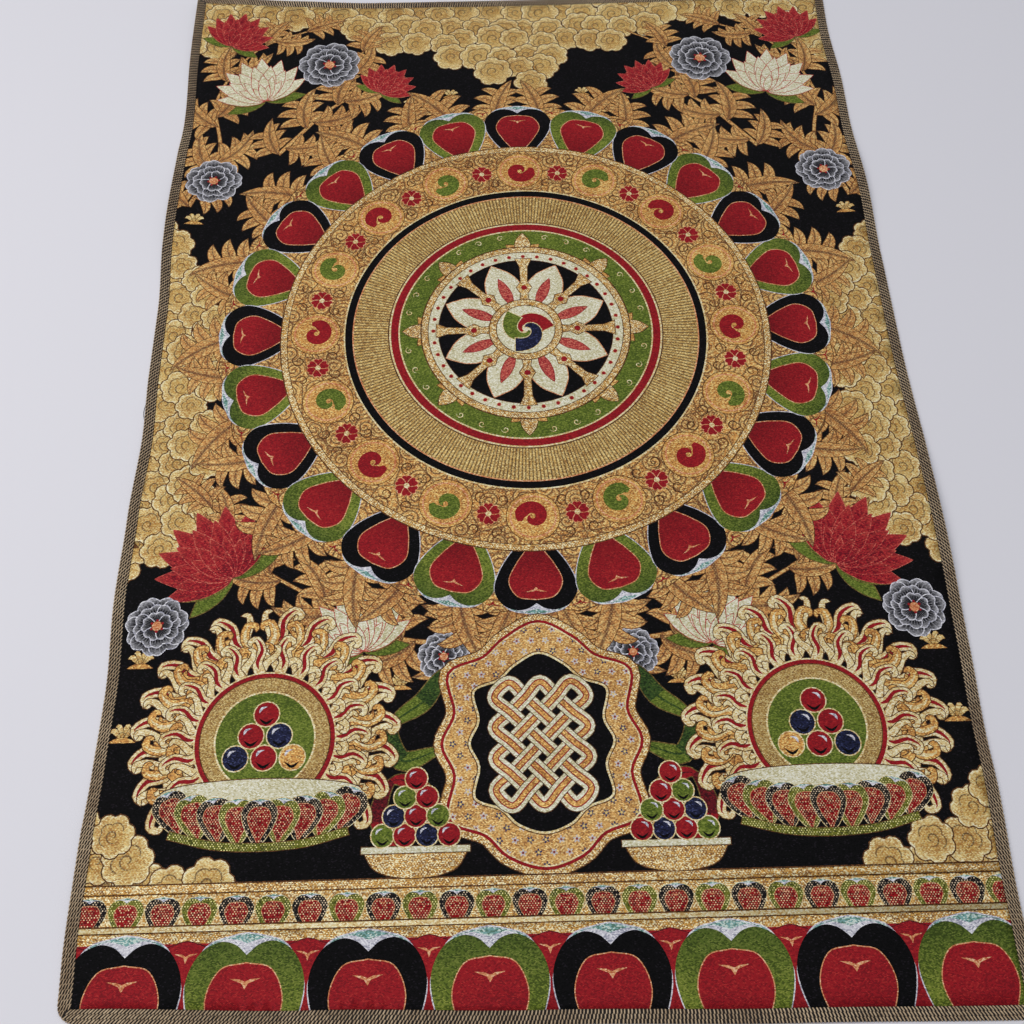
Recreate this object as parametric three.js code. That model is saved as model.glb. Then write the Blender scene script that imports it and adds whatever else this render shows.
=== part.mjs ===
// A woven thangka panel: one upright rectangle of heavy brocade, its four raw edges overcast with
// thick overlock thread, lying face up on a flat surface.
// Millimetres, +Z up, +Y towards the panel's head. The origin is the middle of the footprint, on
// the surface.
// Five solids: the brocade itself and four runs of overlock, one for each side, mitred at the
// corners.

import * as THREE from "three";

// Driving dimensions

const WIDTH = 600; // overall, side to side
const HEIGHT = 900; // overall, foot to head
const CLOTH_THICK = 1.2;
const OVERLOCK_WIDE = 8.5; // how far the overcast thread reaches in from the edge
const OVERLOCK_THICK = 2;
const GAP = 0.3; // between touching pieces

const COLUMNS = 22; // steps of the brocade's mesh across
const ROWS = 44; // and from foot to head
const CROWDING = 0.45; // how much closer the columns stand near the two sides: 0 is even
const CORNER_STEPS = 3; // steps of an overlock run round its half of a corner
const CORNER_ROOM = 2.5; // least length of those steps, and the room kept after them

// How far the hand-cut sides wander from a straight line. along is measured on the side from the
// panel's middle, out is away from the middle.

const LEFT_SIDE = [
  { along: -450, out: 0 },
  { along: -404, out: 1.6 },
  { along: -350, out: 0.8 },
  { along: -300, out: -0.8 },
  { along: -240, out: -2 },
  { along: -170, out: 1.2 },
  { along: -110, out: 0 },
  { along: -40, out: -3.2 },
  { along: 20, out: -0.9 },
  { along: 80, out: -0.8 },
  { along: 150, out: 2.2 },
  { along: 250, out: 1.2 },
  { along: 292, out: -0.7 },
  { along: 372, out: 1.5 },
  { along: 450, out: 1 },
];

const RIGHT_SIDE = [
  { along: -450, out: -3.5 },
  { along: -385, out: -3 },
  { along: -310, out: -0.4 },
  { along: -280, out: -0.8 },
  { along: -210, out: 1.3 },
  { along: -135, out: 2.2 },
  { along: -60, out: 2 },
  { along: 30, out: 0 },
  { along: 130, out: 0.3 },
  { along: 200, out: 1.3 },
  { along: 275, out: -1.2 },
  { along: 330, out: -0.2 },
  { along: 398, out: -2.8 },
  { along: 450, out: -1.2 },
];

const HEAD_SIDE = [
  { along: -300, out: 4 },
  { along: -210, out: 1 },
  { along: -130, out: -1 },
  { along: 0, out: -1 },
  { along: 130, out: 0.4 },
  { along: 300, out: 4 },
];

const FOOT_SIDE = [
  { along: -300, out: -9 },
  { along: -150, out: -4.6 },
  { along: 0, out: -1 },
  { along: 150, out: 2 },
  { along: 300, out: 4 },
];

// How round each corner was turned under the needle.

const CORNER_RADIUS = { footLeft: 13, footRight: 6, headRight: 4, headLeft: 4 };

// Where an edge stands up off the surface in a soft wave. at and half_length lie along the side,
// reach is how far the wave runs into the panel.

const EDGE_WAVES = [
  { side: "left", at: 415, half_length: 105, height: 4.2, reach: 95 },
  { side: "left", at: 195, half_length: 90, height: 5, reach: 70 },
  { side: "left", at: -45, half_length: 70, height: 1.6, reach: 45 },
  { side: "left", at: -345, half_length: 80, height: 1.8, reach: 45 },
  { side: "head", at: -265, half_length: 135, height: 3.6, reach: 85 },
  { side: "head", at: 170, half_length: 90, height: 1.6, reach: 45 },
  { side: "right", at: 215, half_length: 85, height: 2.4, reach: 55 },
  { side: "right", at: -120, half_length: 110, height: 3, reach: 60 },
  { side: "foot", at: 120, half_length: 100, height: 1.6, reach: 40 },
];

// The overlock's section: across runs from 0 at its inner side to 1 at the outer edge, up is a
// share of its thickness.

const OVERLOCK_SECTION = [
  { across: 0, up: 0 },
  { across: 0.9, up: 0 },
  { across: 1, up: 0.3 },
  { across: 1, up: 0.68 },
  { across: 0.86, up: 0.95 },
  { across: 0.4, up: 1 },
  { across: 0, up: 0.8 },
];

// Shape of the laid cloth

// A value read from a table of rows, eased smoothly from row to row.
function eased(rows, along) {
  if (along <= rows[0].along) return rows[0].out;
  for (let i = 1; i < rows.length; i++) {
    const from = rows[i - 1];
    const to = rows[i];
    if (along <= to.along) {
      const t = (along - from.along) / (to.along - from.along);
      return THREE.MathUtils.lerp(from.out, to.out, t * t * (3 - 2 * t));
    }
  }
  return rows[rows.length - 1].out;
}

// The four outer edges, as coordinates of the side at a place along it.
const leftEdge = (y) => -WIDTH / 2 - eased(LEFT_SIDE, y);
const rightEdge = (y) => WIDTH / 2 + eased(RIGHT_SIDE, y);
const headEdge = (x) => HEIGHT / 2 + eased(HEAD_SIDE, x);
const footEdge = (x) => -HEIGHT / 2 - eased(FOOT_SIDE, x);

// How high the underside stands above the surface at a point of the panel.
function lift(x, y) {
  const fromSide = {
    left: { along: y, depth: x - leftEdge(y) },
    right: { along: y, depth: rightEdge(y) - x },
    head: { along: x, depth: headEdge(x) - y },
    foot: { along: x, depth: y - footEdge(x) },
  };
  let height = 0;
  for (const wave of EDGE_WAVES) {
    const { along, depth } = fromSide[wave.side];
    const sideways = Math.abs(along - wave.at) / wave.half_length;
    const inwards = Math.max(depth, 0) / wave.reach;
    if (sideways < 1 && inwards < 1) {
      height += wave.height * Math.cos((sideways * Math.PI) / 2) ** 2 * (1 - inwards) ** 2;
    }
  }
  return height;
}

// A point of the panel from shares u (left to right) and v (foot to head) of the outline that
// lies inset inside the outer edges.
function placed(u, v, inset) {
  const x0 = THREE.MathUtils.lerp(-WIDTH / 2, WIDTH / 2, u);
  const y0 = THREE.MathUtils.lerp(-HEIGHT / 2, HEIGHT / 2, v);
  return new THREE.Vector2(
    THREE.MathUtils.lerp(leftEdge(y0) + inset, rightEdge(y0) - inset, u),
    THREE.MathUtils.lerp(footEdge(x0) + inset, headEdge(x0) - inset, v),
  );
}

// Closed meshes

// A closed solid from rings of points, each ring the same length, capped at both ends. The rings
// run one after another; each goes clockwise seen from the last ring's side.
function skinned(rings) {
  const count = rings[0].length;
  const positions = rings.flat().flatMap((p) => [p.x, p.y, p.z]);
  const faces = [];
  for (let r = 0; r + 1 < rings.length; r++) {
    for (let i = 0; i < count; i++) {
      const a = r * count + i;
      const b = r * count + ((i + 1) % count);
      faces.push(a, b + count, b, a, a + count, b + count);
    }
  }
  const last = (rings.length - 1) * count;
  for (let i = 1; i + 1 < count; i++) {
    faces.push(0, i, i + 1);
    faces.push(last, last + i + 1, last + i);
  }
  const geometry = new THREE.BufferGeometry();
  geometry.setAttribute("position", new THREE.Float32BufferAttribute(positions, 3));
  geometry.setIndex(faces);
  geometry.computeVertexNormals();
  return geometry;
}

// A closed sheet of even thickness from a grid of plan points, grid[row][column].
function sheet(grid, thick) {
  const rows = grid.length;
  const columns = grid[0].length;
  const layer = rows * columns;
  const low = grid.flat().map((p) => new THREE.Vector3(p.x, p.y, lift(p.x, p.y)));
  const high = low.map((p) => new THREE.Vector3(p.x, p.y, p.z + thick));
  const at = (r, c) => r * columns + c;
  const faces = [];
  for (let r = 0; r + 1 < rows; r++) {
    for (let c = 0; c + 1 < columns; c++) {
      const [a, b, d, e] = [at(r, c), at(r, c + 1), at(r + 1, c + 1), at(r + 1, c)];
      faces.push(a, d, b, a, e, d);
      faces.push(layer + a, layer + b, layer + d, layer + a, layer + d, layer + e);
    }
  }
  const rim = [];
  for (let c = 0; c + 1 < columns; c++) rim.push(at(0, c));
  for (let r = 0; r + 1 < rows; r++) rim.push(at(r, columns - 1));
  for (let c = columns - 1; c > 0; c--) rim.push(at(rows - 1, c));
  for (let r = rows - 1; r > 0; r--) rim.push(at(r, 0));
  rim.forEach((a, i) => {
    const b = rim[(i + 1) % rim.length];
    faces.push(a, b, layer + b, a, layer + b, layer + a);
  });
  const geometry = new THREE.BufferGeometry();
  geometry.setAttribute(
    "position",
    new THREE.Float32BufferAttribute([...low, ...high].flatMap((p) => [p.x, p.y, p.z]), 3),
  );
  geometry.setIndex(faces);
  geometry.computeVertexNormals();
  return geometry;
}

// The brocade panel

const crowded = (t) => t - (CROWDING / (2 * Math.PI)) * Math.sin(2 * Math.PI * t);

function brocadeGeometry() {
  const inset = OVERLOCK_WIDE + GAP;
  const grid = [];
  for (let r = 0; r <= ROWS; r++) {
    const line = [];
    for (let c = 0; c <= COLUMNS; c++) line.push(placed(crowded(c / COLUMNS), r / ROWS, inset));
    grid.push(line);
  }
  return sheet(grid, CLOTH_THICK);
}

// The overlock runs

// Each side, going round anticlockwise from the foot's left end: its two corners, its length, its
// steps and where a share s of it lies, as shares u and v of the panel.
const SIDES = {
  foot: {
    start: "footLeft",
    end: "footRight",
    long: WIDTH,
    steps: COLUMNS,
    shares: (s) => [crowded(s), 0],
  },
  right: {
    start: "footRight",
    end: "headRight",
    long: HEIGHT,
    steps: ROWS,
    shares: (s) => [1, s],
  },
  head: {
    start: "headRight",
    end: "headLeft",
    long: WIDTH,
    steps: COLUMNS,
    shares: (s) => [1 - crowded(s), 1],
  },
  left: {
    start: "headLeft",
    end: "footLeft",
    long: HEIGHT,
    steps: ROWS,
    shares: (s) => [0, 1 - s],
  },
};

// One run follows its side from the middle of one corner to the middle of the next. Its inner
// line is straight to the mitre and its outer line rounds the corner.
function overlockGeometry(side) {
  const { start, end, long, steps, shares } = SIDES[side];
  const inner = (s) => placed(...shares(s), OVERLOCK_WIDE);
  const outer = (s) => placed(...shares(s), 0);
  const direction = outer(1).sub(outer(0)).normalize();
  const outward = new THREE.Vector2(direction.y, -direction.x);
  const mitre = GAP / Math.SQRT2;

  // The half corner at one end: a few stations from the mitre to where the outer line runs
  // straight. clear is how far along the side they reach.
  function halfCorner(s, radius, towards) {
    const heading = direction.clone().multiplyScalar(towards);
    const centre = outer(s).addScaledVector(heading, radius).addScaledVector(outward, -radius);
    const room = Math.max(radius - OVERLOCK_WIDE, CORNER_ROOM);
    const stations = [];
    for (let i = 0; i <= CORNER_STEPS; i++) {
      const t = i / CORNER_STEPS;
      const angle = THREE.MathUtils.lerp(Math.PI / 4, Math.PI / 2, t);
      stations.push({
        inner: inner(s).addScaledVector(heading, mitre + room * t),
        outer: centre
          .clone()
          .addScaledVector(heading, mitre * (1 - t) - radius * Math.cos(angle))
          .addScaledVector(outward, radius * Math.sin(angle)),
      });
    }
    return { stations, clear: Math.max(radius, OVERLOCK_WIDE + room) + CORNER_ROOM };
  }

  const first = halfCorner(0, CORNER_RADIUS[start], 1);
  const last = halfCorner(1, CORNER_RADIUS[end], -1);
  const stations = [...first.stations];
  for (let i = 1; i < steps; i++) {
    const s = i / steps;
    const walked = outer(s).distanceTo(outer(0));
    if (walked > first.clear && long - walked > last.clear) {
      stations.push({ inner: inner(s), outer: outer(s) });
    }
  }
  stations.push(...last.stations.reverse());

  const rings = stations.map((station) =>
    OVERLOCK_SECTION.map(({ across, up }) => {
      const p = station.inner.clone().lerp(station.outer, across);
      return new THREE.Vector3(p.x, p.y, lift(p.x, p.y) + up * OVERLOCK_THICK);
    }),
  );
  return skinned(rings);
}

// The assembled panel

const brocade = new THREE.MeshStandardMaterial({ color: 0xa8813f, roughness: 0.62, metalness: 0.15 });
const thread = new THREE.MeshStandardMaterial({ color: 0x7c7264, roughness: 0.85, metalness: 0 });

const thangka = new THREE.Group();

const panel = new THREE.Mesh(brocadeGeometry(), brocade);
panel.name = "brocade_panel";
thangka.add(panel);

for (const side of Object.keys(SIDES)) {
  const run = new THREE.Mesh(overlockGeometry(side), thread);
  run.name = `overlock_${side}`;
  thangka.add(run);
}

// The wandering outline isn't centred on its own driving rectangle, so the whole is moved to stand
// on its footprint's middle.
const box = new THREE.Box3().setFromObject(thangka);
const middle = box.getCenter(new THREE.Vector3());
for (const piece of thangka.children) piece.geometry.translate(-middle.x, -middle.y, -box.min.z);

export default thangka;
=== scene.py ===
"""A woven thangka panel lying face up: a brocade ornament in many yarns, its raw edge overcast with
thick overlock thread.

The brocade is one closed sheet. Its face is a single mesh, cut along every edge of the drawn
ornament, and each patch of it takes the yarn that lies on top there. The drawing is made of motifs
laid over each other in millimetres, +Y towards the head, with points held as complex numbers.
"""

import cmath
import math
import random
from collections import namedtuple

import bmesh
import bpy
import numpy as np
from mathutils import Matrix, Vector
from mathutils.geometry import delaunay_2d_cdt


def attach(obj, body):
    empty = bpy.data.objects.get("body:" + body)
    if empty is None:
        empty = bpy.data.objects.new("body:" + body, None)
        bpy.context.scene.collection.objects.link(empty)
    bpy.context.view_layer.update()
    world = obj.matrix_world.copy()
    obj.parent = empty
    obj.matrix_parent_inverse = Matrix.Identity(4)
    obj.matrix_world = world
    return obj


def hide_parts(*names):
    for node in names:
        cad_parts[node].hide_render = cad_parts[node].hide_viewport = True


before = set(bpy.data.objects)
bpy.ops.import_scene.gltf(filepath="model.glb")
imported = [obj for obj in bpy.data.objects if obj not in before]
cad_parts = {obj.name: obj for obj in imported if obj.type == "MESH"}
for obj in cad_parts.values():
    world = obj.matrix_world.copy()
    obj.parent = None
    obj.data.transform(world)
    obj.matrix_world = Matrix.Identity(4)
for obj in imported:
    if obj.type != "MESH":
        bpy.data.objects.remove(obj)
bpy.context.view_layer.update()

# Driving sizes, in millimetres, as in the solids

MM = 0.001
WIDTH = 600
HEIGHT = 900
CLOTH_THICK = 1.2
OVERLOCK_WIDE = 8.5
CLOTH_INSET = 8.55  # the cloth ends here, where the overlock's core begins
CORNER_RADIUS = {"foot_left": 13, "foot_right": 6, "head_right": 4, "head_left": 4}

# How far each side wanders from a straight line: place along the side, distance outwards

LEFT_SIDE = (
    (-450, 0),
    (-404, 1.6),
    (-350, 0.8),
    (-300, -0.8),
    (-240, -2),
    (-170, 1.2),
    (-110, 0),
    (-40, -3.2),
    (20, -0.9),
    (80, -0.8),
    (150, 2.2),
    (250, 1.2),
    (292, -0.7),
    (372, 1.5),
    (450, 1),
)
RIGHT_SIDE = (
    (-450, -3.5),
    (-385, -3),
    (-310, -0.4),
    (-280, -0.8),
    (-210, 1.3),
    (-135, 2.2),
    (-60, 2),
    (30, 0),
    (130, 0.3),
    (200, 1.3),
    (275, -1.2),
    (330, -0.2),
    (398, -2.8),
    (450, -1.2),
)
HEAD_SIDE = ((-300, 4), (-210, 1), (-130, -1), (0, -1), (130, 0.4), (300, 4))
FOOT_SIDE = ((-300, -9), (-150, -4.6), (0, -1), (150, 2), (300, 4))

# Where an edge stands up in a soft wave: side, middle and half length along it, height, and how
# far the wave runs into the panel

EDGE_WAVES = (
    ("left", 415, 105, 4.2, 95),
    ("left", 195, 90, 5, 70),
    ("left", -45, 70, 1.6, 45),
    ("left", -345, 80, 1.8, 45),
    ("head", -265, 135, 3.6, 85),
    ("head", 170, 90, 1.6, 45),
    ("right", 215, 85, 2.4, 55),
    ("right", -120, 110, 3, 60),
    ("foot", 120, 100, 1.6, 40),
)

# Slow ripples that a pressed cloth keeps: wavelength across and up, height

RIPPLES = ((83, 210, 0.10), (151, 97, 0.12), (57, 390, 0.06), (240, 61, 0.07))


# The shape of the laid cloth


def eased(rows, along):
    """Values of a table of (place, value) rows, eased smoothly from row to row."""
    places = np.array([row[0] for row in rows], float)
    values = np.array([row[1] for row in rows], float)
    i = np.clip(np.searchsorted(places, along) - 1, 0, len(places) - 2)
    t = np.clip((along - places[i]) / (places[i + 1] - places[i]), 0, 1)
    return values[i] + (values[i + 1] - values[i]) * t * t * (3 - 2 * t)


def left_edge(y):
    return -WIDTH / 2 - eased(LEFT_SIDE, y)


def right_edge(y):
    return WIDTH / 2 + eased(RIGHT_SIDE, y)


def head_edge(x):
    return HEIGHT / 2 + eased(HEAD_SIDE, x)


def foot_edge(x):
    return -HEIGHT / 2 - eased(FOOT_SIDE, x)


def placed(u, v, inset):
    """A point from shares u and v of the outline that lies inset inside the outer edges."""
    x0 = (u - 0.5) * WIDTH
    y0 = (v - 0.5) * HEIGHT
    left, right = left_edge(y0) + inset, right_edge(y0) - inset
    foot, head = foot_edge(x0) + inset, head_edge(x0) - inset
    return left + (right - left) * u, foot + (head - foot) * v


def lift(x, y):
    """How high the underside stands above the surface."""
    x, y = np.asarray(x, float), np.asarray(y, float)
    sides = {
        "left": (y, x - left_edge(y)),
        "right": (y, right_edge(y) - x),
        "head": (x, head_edge(x) - y),
        "foot": (x, y - foot_edge(x)),
    }
    height = np.zeros(np.broadcast(x, y).shape)
    for side, middle, half_length, top, reach in EDGE_WAVES:
        along, depth = sides[side]
        sideways = np.clip(np.abs(along - middle) / half_length, 0, 1)
        inwards = np.clip(depth / reach, 0, 1)
        height += top * np.cos(sideways * math.pi / 2) ** 2 * (1 - inwards) ** 2
    return height


def ripple(x, y):
    """The ripples' height, never below 0."""
    height = np.zeros(np.broadcast(x, y).shape)
    for k, (across, up, top) in enumerate(RIPPLES):
        height += top * (1 + np.sin(2 * math.pi * (x / across + y / up) + 1.7 * k))
    return height


# Camera, light and floor

CAMERA_LENS = 39.375
CAMERA_SENSOR = 36
CAMERA_AT = (-25.36, -476.2, 741.85)
CAMERA_RIGHT = (0.999636, -0.026974, -0.000323)
CAMERA_UP = (0.024228, 0.892488, 0.450421)
CAMERA_BACK = (-0.01186, -0.45026, 0.89282)

# Each lamp: its name, place and width in metres, watts and colour

LAMPS = (
    ("window_light", (-1.6, -0.1, 1.7), 1.6, 27, (1, 0.985, 0.97)),
    ("ceiling_light", (0.3, 0.2, 2.4), 2.4, 18, (0.97, 0.985, 1)),
)
SKY_COLOUR = (0.9, 0.92, 1, 1)
SKY_STRENGTH = 0.33
FLOOR_REACH = 6.0
FLOOR_COLOUR = (0.76, 0.75, 0.79, 1)


def camera():
    """The photograph's view: from above the foot, looking down and towards the head."""
    data = bpy.data.cameras.new("camera")
    data.lens = CAMERA_LENS
    data.sensor_width = CAMERA_SENSOR
    seen = bpy.data.objects.new("camera", data)
    bpy.context.scene.collection.objects.link(seen)
    turn = Matrix((CAMERA_RIGHT, CAMERA_UP, CAMERA_BACK)).transposed().to_4x4()
    seen.matrix_world = Matrix.Translation(Vector(CAMERA_AT) * MM) @ turn
    bpy.context.scene.camera = seen


def lamp(name, at, wide, watts, colour):
    """A square soft light that faces the panel's middle."""
    data = bpy.data.lights.new(name, "AREA")
    data.shape = "RECTANGLE"
    data.size = data.size_y = wide
    data.energy = watts
    data.color = colour
    made = bpy.data.objects.new(name, data)
    bpy.context.scene.collection.objects.link(made)
    made.location = at
    made.rotation_euler = (Vector() - Vector(at)).to_track_quat("-Z", "Y").to_euler()


def studio():
    """Two soft lamps, a pale sky and a plain pale floor."""
    for values in LAMPS:
        lamp(*values)
    world = bpy.data.worlds.new("soft_room")
    world.use_nodes = True
    sky = world.node_tree.nodes["Background"]
    sky.inputs["Color"].default_value = SKY_COLOUR
    sky.inputs["Strength"].default_value = SKY_STRENGTH
    bpy.context.scene.world = world
    bpy.context.scene.view_settings.view_transform = "Standard"
    reach = FLOOR_REACH
    floor_mesh = bpy.data.meshes.new("floor")
    corners = [(-reach, -reach, 0), (reach, -reach, 0), (reach, reach, 0), (-reach, reach, 0)]
    floor_mesh.from_pydata(corners, [], [(0, 1, 2, 3)])
    floor = bpy.data.objects.new("floor", floor_mesh)
    bpy.context.scene.collection.objects.link(floor)
    paint, _, shader = new_material("pale_floor")
    shader.inputs["Base Color"].default_value = FLOOR_COLOUR
    shader.inputs["Roughness"].default_value = 0.9
    floor.data.materials.append(paint)


# Node wiring


class Wiring:
    """Adds nodes to a tree. Its calls take numbers, tuples or sockets, and return sockets."""

    def __init__(self, tree):
        self.tree = tree

    def node(self, kind, *inputs, **settings):
        made = self.tree.nodes.new(kind)
        for name, value in settings.items():
            setattr(made, name, value)
        for socket, value in zip(made.inputs, inputs):
            self.plug(socket, value)
        return made

    def plug(self, socket, value):
        if value is None:
            return
        if isinstance(value, bpy.types.NodeSocket):
            self.tree.links.new(value, socket)
        else:
            socket.default_value = value

    def math(self, operation, *values, clamp=False):
        return self.node("ShaderNodeMath", *values, operation=operation, use_clamp=clamp).outputs[0]

    def vector(self, operation, a, b=None):
        made = self.node("ShaderNodeVectorMath", a, b, operation=operation)
        return made.outputs["Value" if operation == "LENGTH" else "Vector"]

    def split(self, vector):
        return self.node("ShaderNodeSeparateXYZ", vector).outputs

    def join(self, x, y, z=0.0):
        return self.node("ShaderNodeCombineXYZ", x, y, z).outputs[0]

    def ramp(self, value, low, high):
        """0 below low, 1 above high, straight between."""
        return self.node("ShaderNodeMapRange", value, low, high, 0.0, 1.0).outputs[0]

    def turn(self, y, x, times=1.0):
        """The turn round the middle, once or some times from 0 to 1 in a circle."""
        return self.math("MULTIPLY", self.math("ARCTAN2", y, x), times / (2 * math.pi))

    def from_middle(self, value):
        """How far a value is from the middle of its unit step, 0 to 0.5."""
        return self.math("ABSOLUTE", self.math("SUBTRACT", self.math("FRACT", value), 0.5))

    def noise(self, position, scale, detail):
        made = self.node("ShaderNodeTexNoise", position)
        made.inputs["Scale"].default_value = scale
        made.inputs["Detail"].default_value = detail
        return made.outputs[0]

    def cells(self, position, loose, **settings):
        """Flat cells of about one unit."""
        made = self.node("ShaderNodeTexVoronoi", position, voronoi_dimensions="2D", **settings)
        made.inputs["Scale"].default_value = 1.0
        made.inputs["Randomness"].default_value = loose
        return made.outputs

    def bump(self, height, strength, distance):
        made = self.node("ShaderNodeBump")
        made.inputs["Strength"].default_value = strength
        made.inputs["Distance"].default_value = distance
        self.plug(made.inputs["Height"], height)
        return made.outputs["Normal"]

    def mix(self, factor, a, b):
        made = self.node("ShaderNodeMix", data_type="RGBA", clamp_factor=True)
        self.plug(made.inputs["Factor"], factor)
        self.plug(made.inputs["A"], a)
        self.plug(made.inputs["B"], b)
        return [out for out in made.outputs if out.type == "RGBA"][0]

    def group(self, tree, **values):
        made = self.node("ShaderNodeGroup", node_tree=tree)
        for name, value in values.items():
            self.plug(made.inputs[name], value)
        return made.outputs


def new_material(name):
    """A material, its wiring and its shader."""
    material = bpy.data.materials.new(name)
    material.use_nodes = True
    return material, Wiring(material.node_tree), material.node_tree.nodes["Principled BSDF"]


def node_group(name, takes, gives):
    """A node group with its sockets, its wiring, its inputs and its output node."""
    tree = bpy.data.node_groups.new(name, "ShaderNodeTree")
    for socket, kind in takes:
        tree.interface.new_socket(socket, in_out="INPUT", socket_type=f"NodeSocket{kind}")
    for socket, kind in gives:
        tree.interface.new_socket(socket, in_out="OUTPUT", socket_type=f"NodeSocket{kind}")
    wire = Wiring(tree)
    return tree, wire, wire.node("NodeGroupInput").outputs, wire.node("NodeGroupOutput").inputs


def weave_group():
    """Staggered floats of thread: each one's own random values and tilt, and its round height."""
    takes = (("Position", "Vector"), ("Float", "Float"), ("Pick", "Float"), ("Step", "Float"))
    gives = (("Thread", "Float"), ("Shade", "Float"), ("Tilt", "Vector"), ("Height", "Float"))
    tree, wire, given, out = node_group("woven floats", takes, gives)
    x, y, _ = wire.split(given["Position"])
    pick = wire.math("DIVIDE", y, given["Pick"])
    row = wire.math("FLOOR", pick)
    along = wire.math("DIVIDE", x, given["Float"])
    along = wire.math("MULTIPLY_ADD", row, given["Step"], along)
    cell = wire.join(wire.math("FLOOR", along), row)
    noise = wire.node("ShaderNodeTexWhiteNoise", cell, noise_dimensions="2D")
    across = wire.math("MULTIPLY_ADD", wire.math("FRACT", pick), 2.0, -1.0)
    length = wire.math("MULTIPLY_ADD", wire.math("FRACT", along), 2.0, -1.0)
    round_side = wire.math("SUBTRACT", 1.0, wire.math("MULTIPLY", across, across))
    dipped_end = wire.math("SUBTRACT", 1.0, wire.math("POWER", wire.math("ABSOLUTE", length), 4.0))
    wire.plug(out["Thread"], noise.outputs["Value"])
    wire.plug(out["Shade"], wire.split(noise.outputs["Color"])[2])
    wire.plug(out["Tilt"], wire.vector("SUBTRACT", noise.outputs["Color"], (0.5, 0.5, 0.5)))
    wire.plug(out["Height"], wire.math("MULTIPLY", round_side, dipped_end))
    return tree


def mottle_group():
    """Slow uneven patches, for yarn that was dyed and packed unevenly."""
    takes = (("Position", "Vector"), ("Patch", "Float"))
    tree, wire, given, out = node_group("mottle", takes, (("Mask", "Float"),))
    spot = wire.vector("DIVIDE", given["Position"], wire.join(given["Patch"], given["Patch"], 1.0))
    wire.plug(out["Mask"], wire.ramp(wire.noise(spot, 1.0, 2.0), 0.32, 0.68))
    return tree


CURL_LOOSE = 0.75  # how far the curls stand from an even net, 0 to 1
PETAL_RAYS = 40  # lines in a whole turn, of which a petal has a few


def scrolls_group():
    """Close-set spiral curls with a fine line between them, as on an embossed ground, and a painted highlight
    (Shine) beside each line.
    """
    takes = (("Position", "Vector"), ("Patch", "Float"), ("Turns", "Float"), ("Line", "Float"))
    gives = (("Mask", "Float"), ("Shine", "Float"))
    tree, wire, given, out = node_group("scroll curls", takes, gives)
    spot = wire.vector("DIVIDE", given["Position"], wire.join(given["Patch"], given["Patch"], 1.0))
    cells = wire.cells(spot, CURL_LOOSE)
    x, y, _ = wire.split(wire.vector("SUBTRACT", spot, cells["Position"]))
    hand = wire.math("GREATER_THAN", wire.split(cells["Color"])[0], 0.5)
    hand = wire.math("MULTIPLY_ADD", hand, 2.0, -1.0)
    wound = wire.math("MULTIPLY", wire.math("MULTIPLY", cells["Distance"], 2.0), given["Turns"])
    phase = wire.math("MULTIPLY_ADD", wire.turn(y, x), hand, wound)
    curl = wire.ramp(wire.from_middle(phase), given["Line"], wire.math("MULTIPLY", given["Line"], 0.4))
    # painted highlight beside each curl line
    shine = wire.from_middle(wire.math("ADD", phase, 0.3))
    inside = wire.ramp(cells["Distance"], 0.5, 0.42)
    border = wire.ramp(wire.cells(spot, CURL_LOOSE, feature="DISTANCE_TO_EDGE")["Distance"], 0.05, 0.015)
    wire.plug(out["Mask"], wire.math("MAXIMUM", wire.math("MULTIPLY", curl, inside), border))
    wire.plug(out["Shine"], wire.math("MULTIPLY", wire.ramp(shine, 0.2, 0.06), inside))
    return tree


def rays_group():
    """Straight fine lines that run out from a motif's own middle."""
    takes = (("Local", "Vector"), ("Count", "Float"), ("Share", "Float"))
    tree, wire, given, out = node_group("ray lines", takes, (("Mask", "Float"),))
    x, y, _ = wire.split(given["Local"])
    away = wire.from_middle(wire.math("MULTIPLY", wire.turn(y, x), given["Count"]))
    wire.plug(out["Mask"], wire.ramp(away, given["Share"], wire.math("MULTIPLY", given["Share"], 0.5)))
    return tree


def streaks_group():
    """Fine lines that fan out from a petal's foot, and its pale tip."""
    tree, wire, given, out = node_group("petal streaks", (("Local", "Vector"),), (("Mask", "Float"),))
    x, y, _ = wire.split(given["Local"])
    away = wire.from_middle(wire.turn(y, x, PETAL_RAYS))
    fan = wire.math("MULTIPLY", wire.ramp(away, 0.2, 0.08), wire.ramp(y, 0.35, 0.8))
    tip = wire.math("POWER", wire.ramp(wire.vector("LENGTH", wire.join(x, y)), 0.74, 1.06), 1.6)
    wire.plug(out["Mask"], wire.math("MAXIMUM", wire.math("MULTIPLY", fan, 0.45), tip))
    return tree


def veins_group():
    """A blade's midrib, fine veins that rise from it, and how deep its shade is."""
    takes = (("Local", "Vector"), ("Count", "Float"), ("Slope", "Float"))
    gives = (("Mask", "Float"), ("Depth", "Float"))
    tree, wire, given, out = node_group("leaf veins", takes, gives)
    x, y, _ = wire.split(given["Local"])
    side = wire.math("ABSOLUTE", x)
    midrib = wire.ramp(side, 0.03, 0.012)
    slant = wire.math("MULTIPLY", side, given["Slope"])
    rise = wire.math("SUBTRACT", wire.math("MULTIPLY", y, given["Count"]), slant)
    vein = wire.math("MULTIPLY", wire.ramp(wire.from_middle(rise), 0.16, 0.06), 0.6)
    wire.plug(out["Mask"], wire.math("MAXIMUM", midrib, vein))
    wire.plug(out["Depth"], wire.math("MULTIPLY", wire.ramp(side, 0.16, 0.0), wire.ramp(y, 1.0, 0.3)))
    return tree


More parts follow.
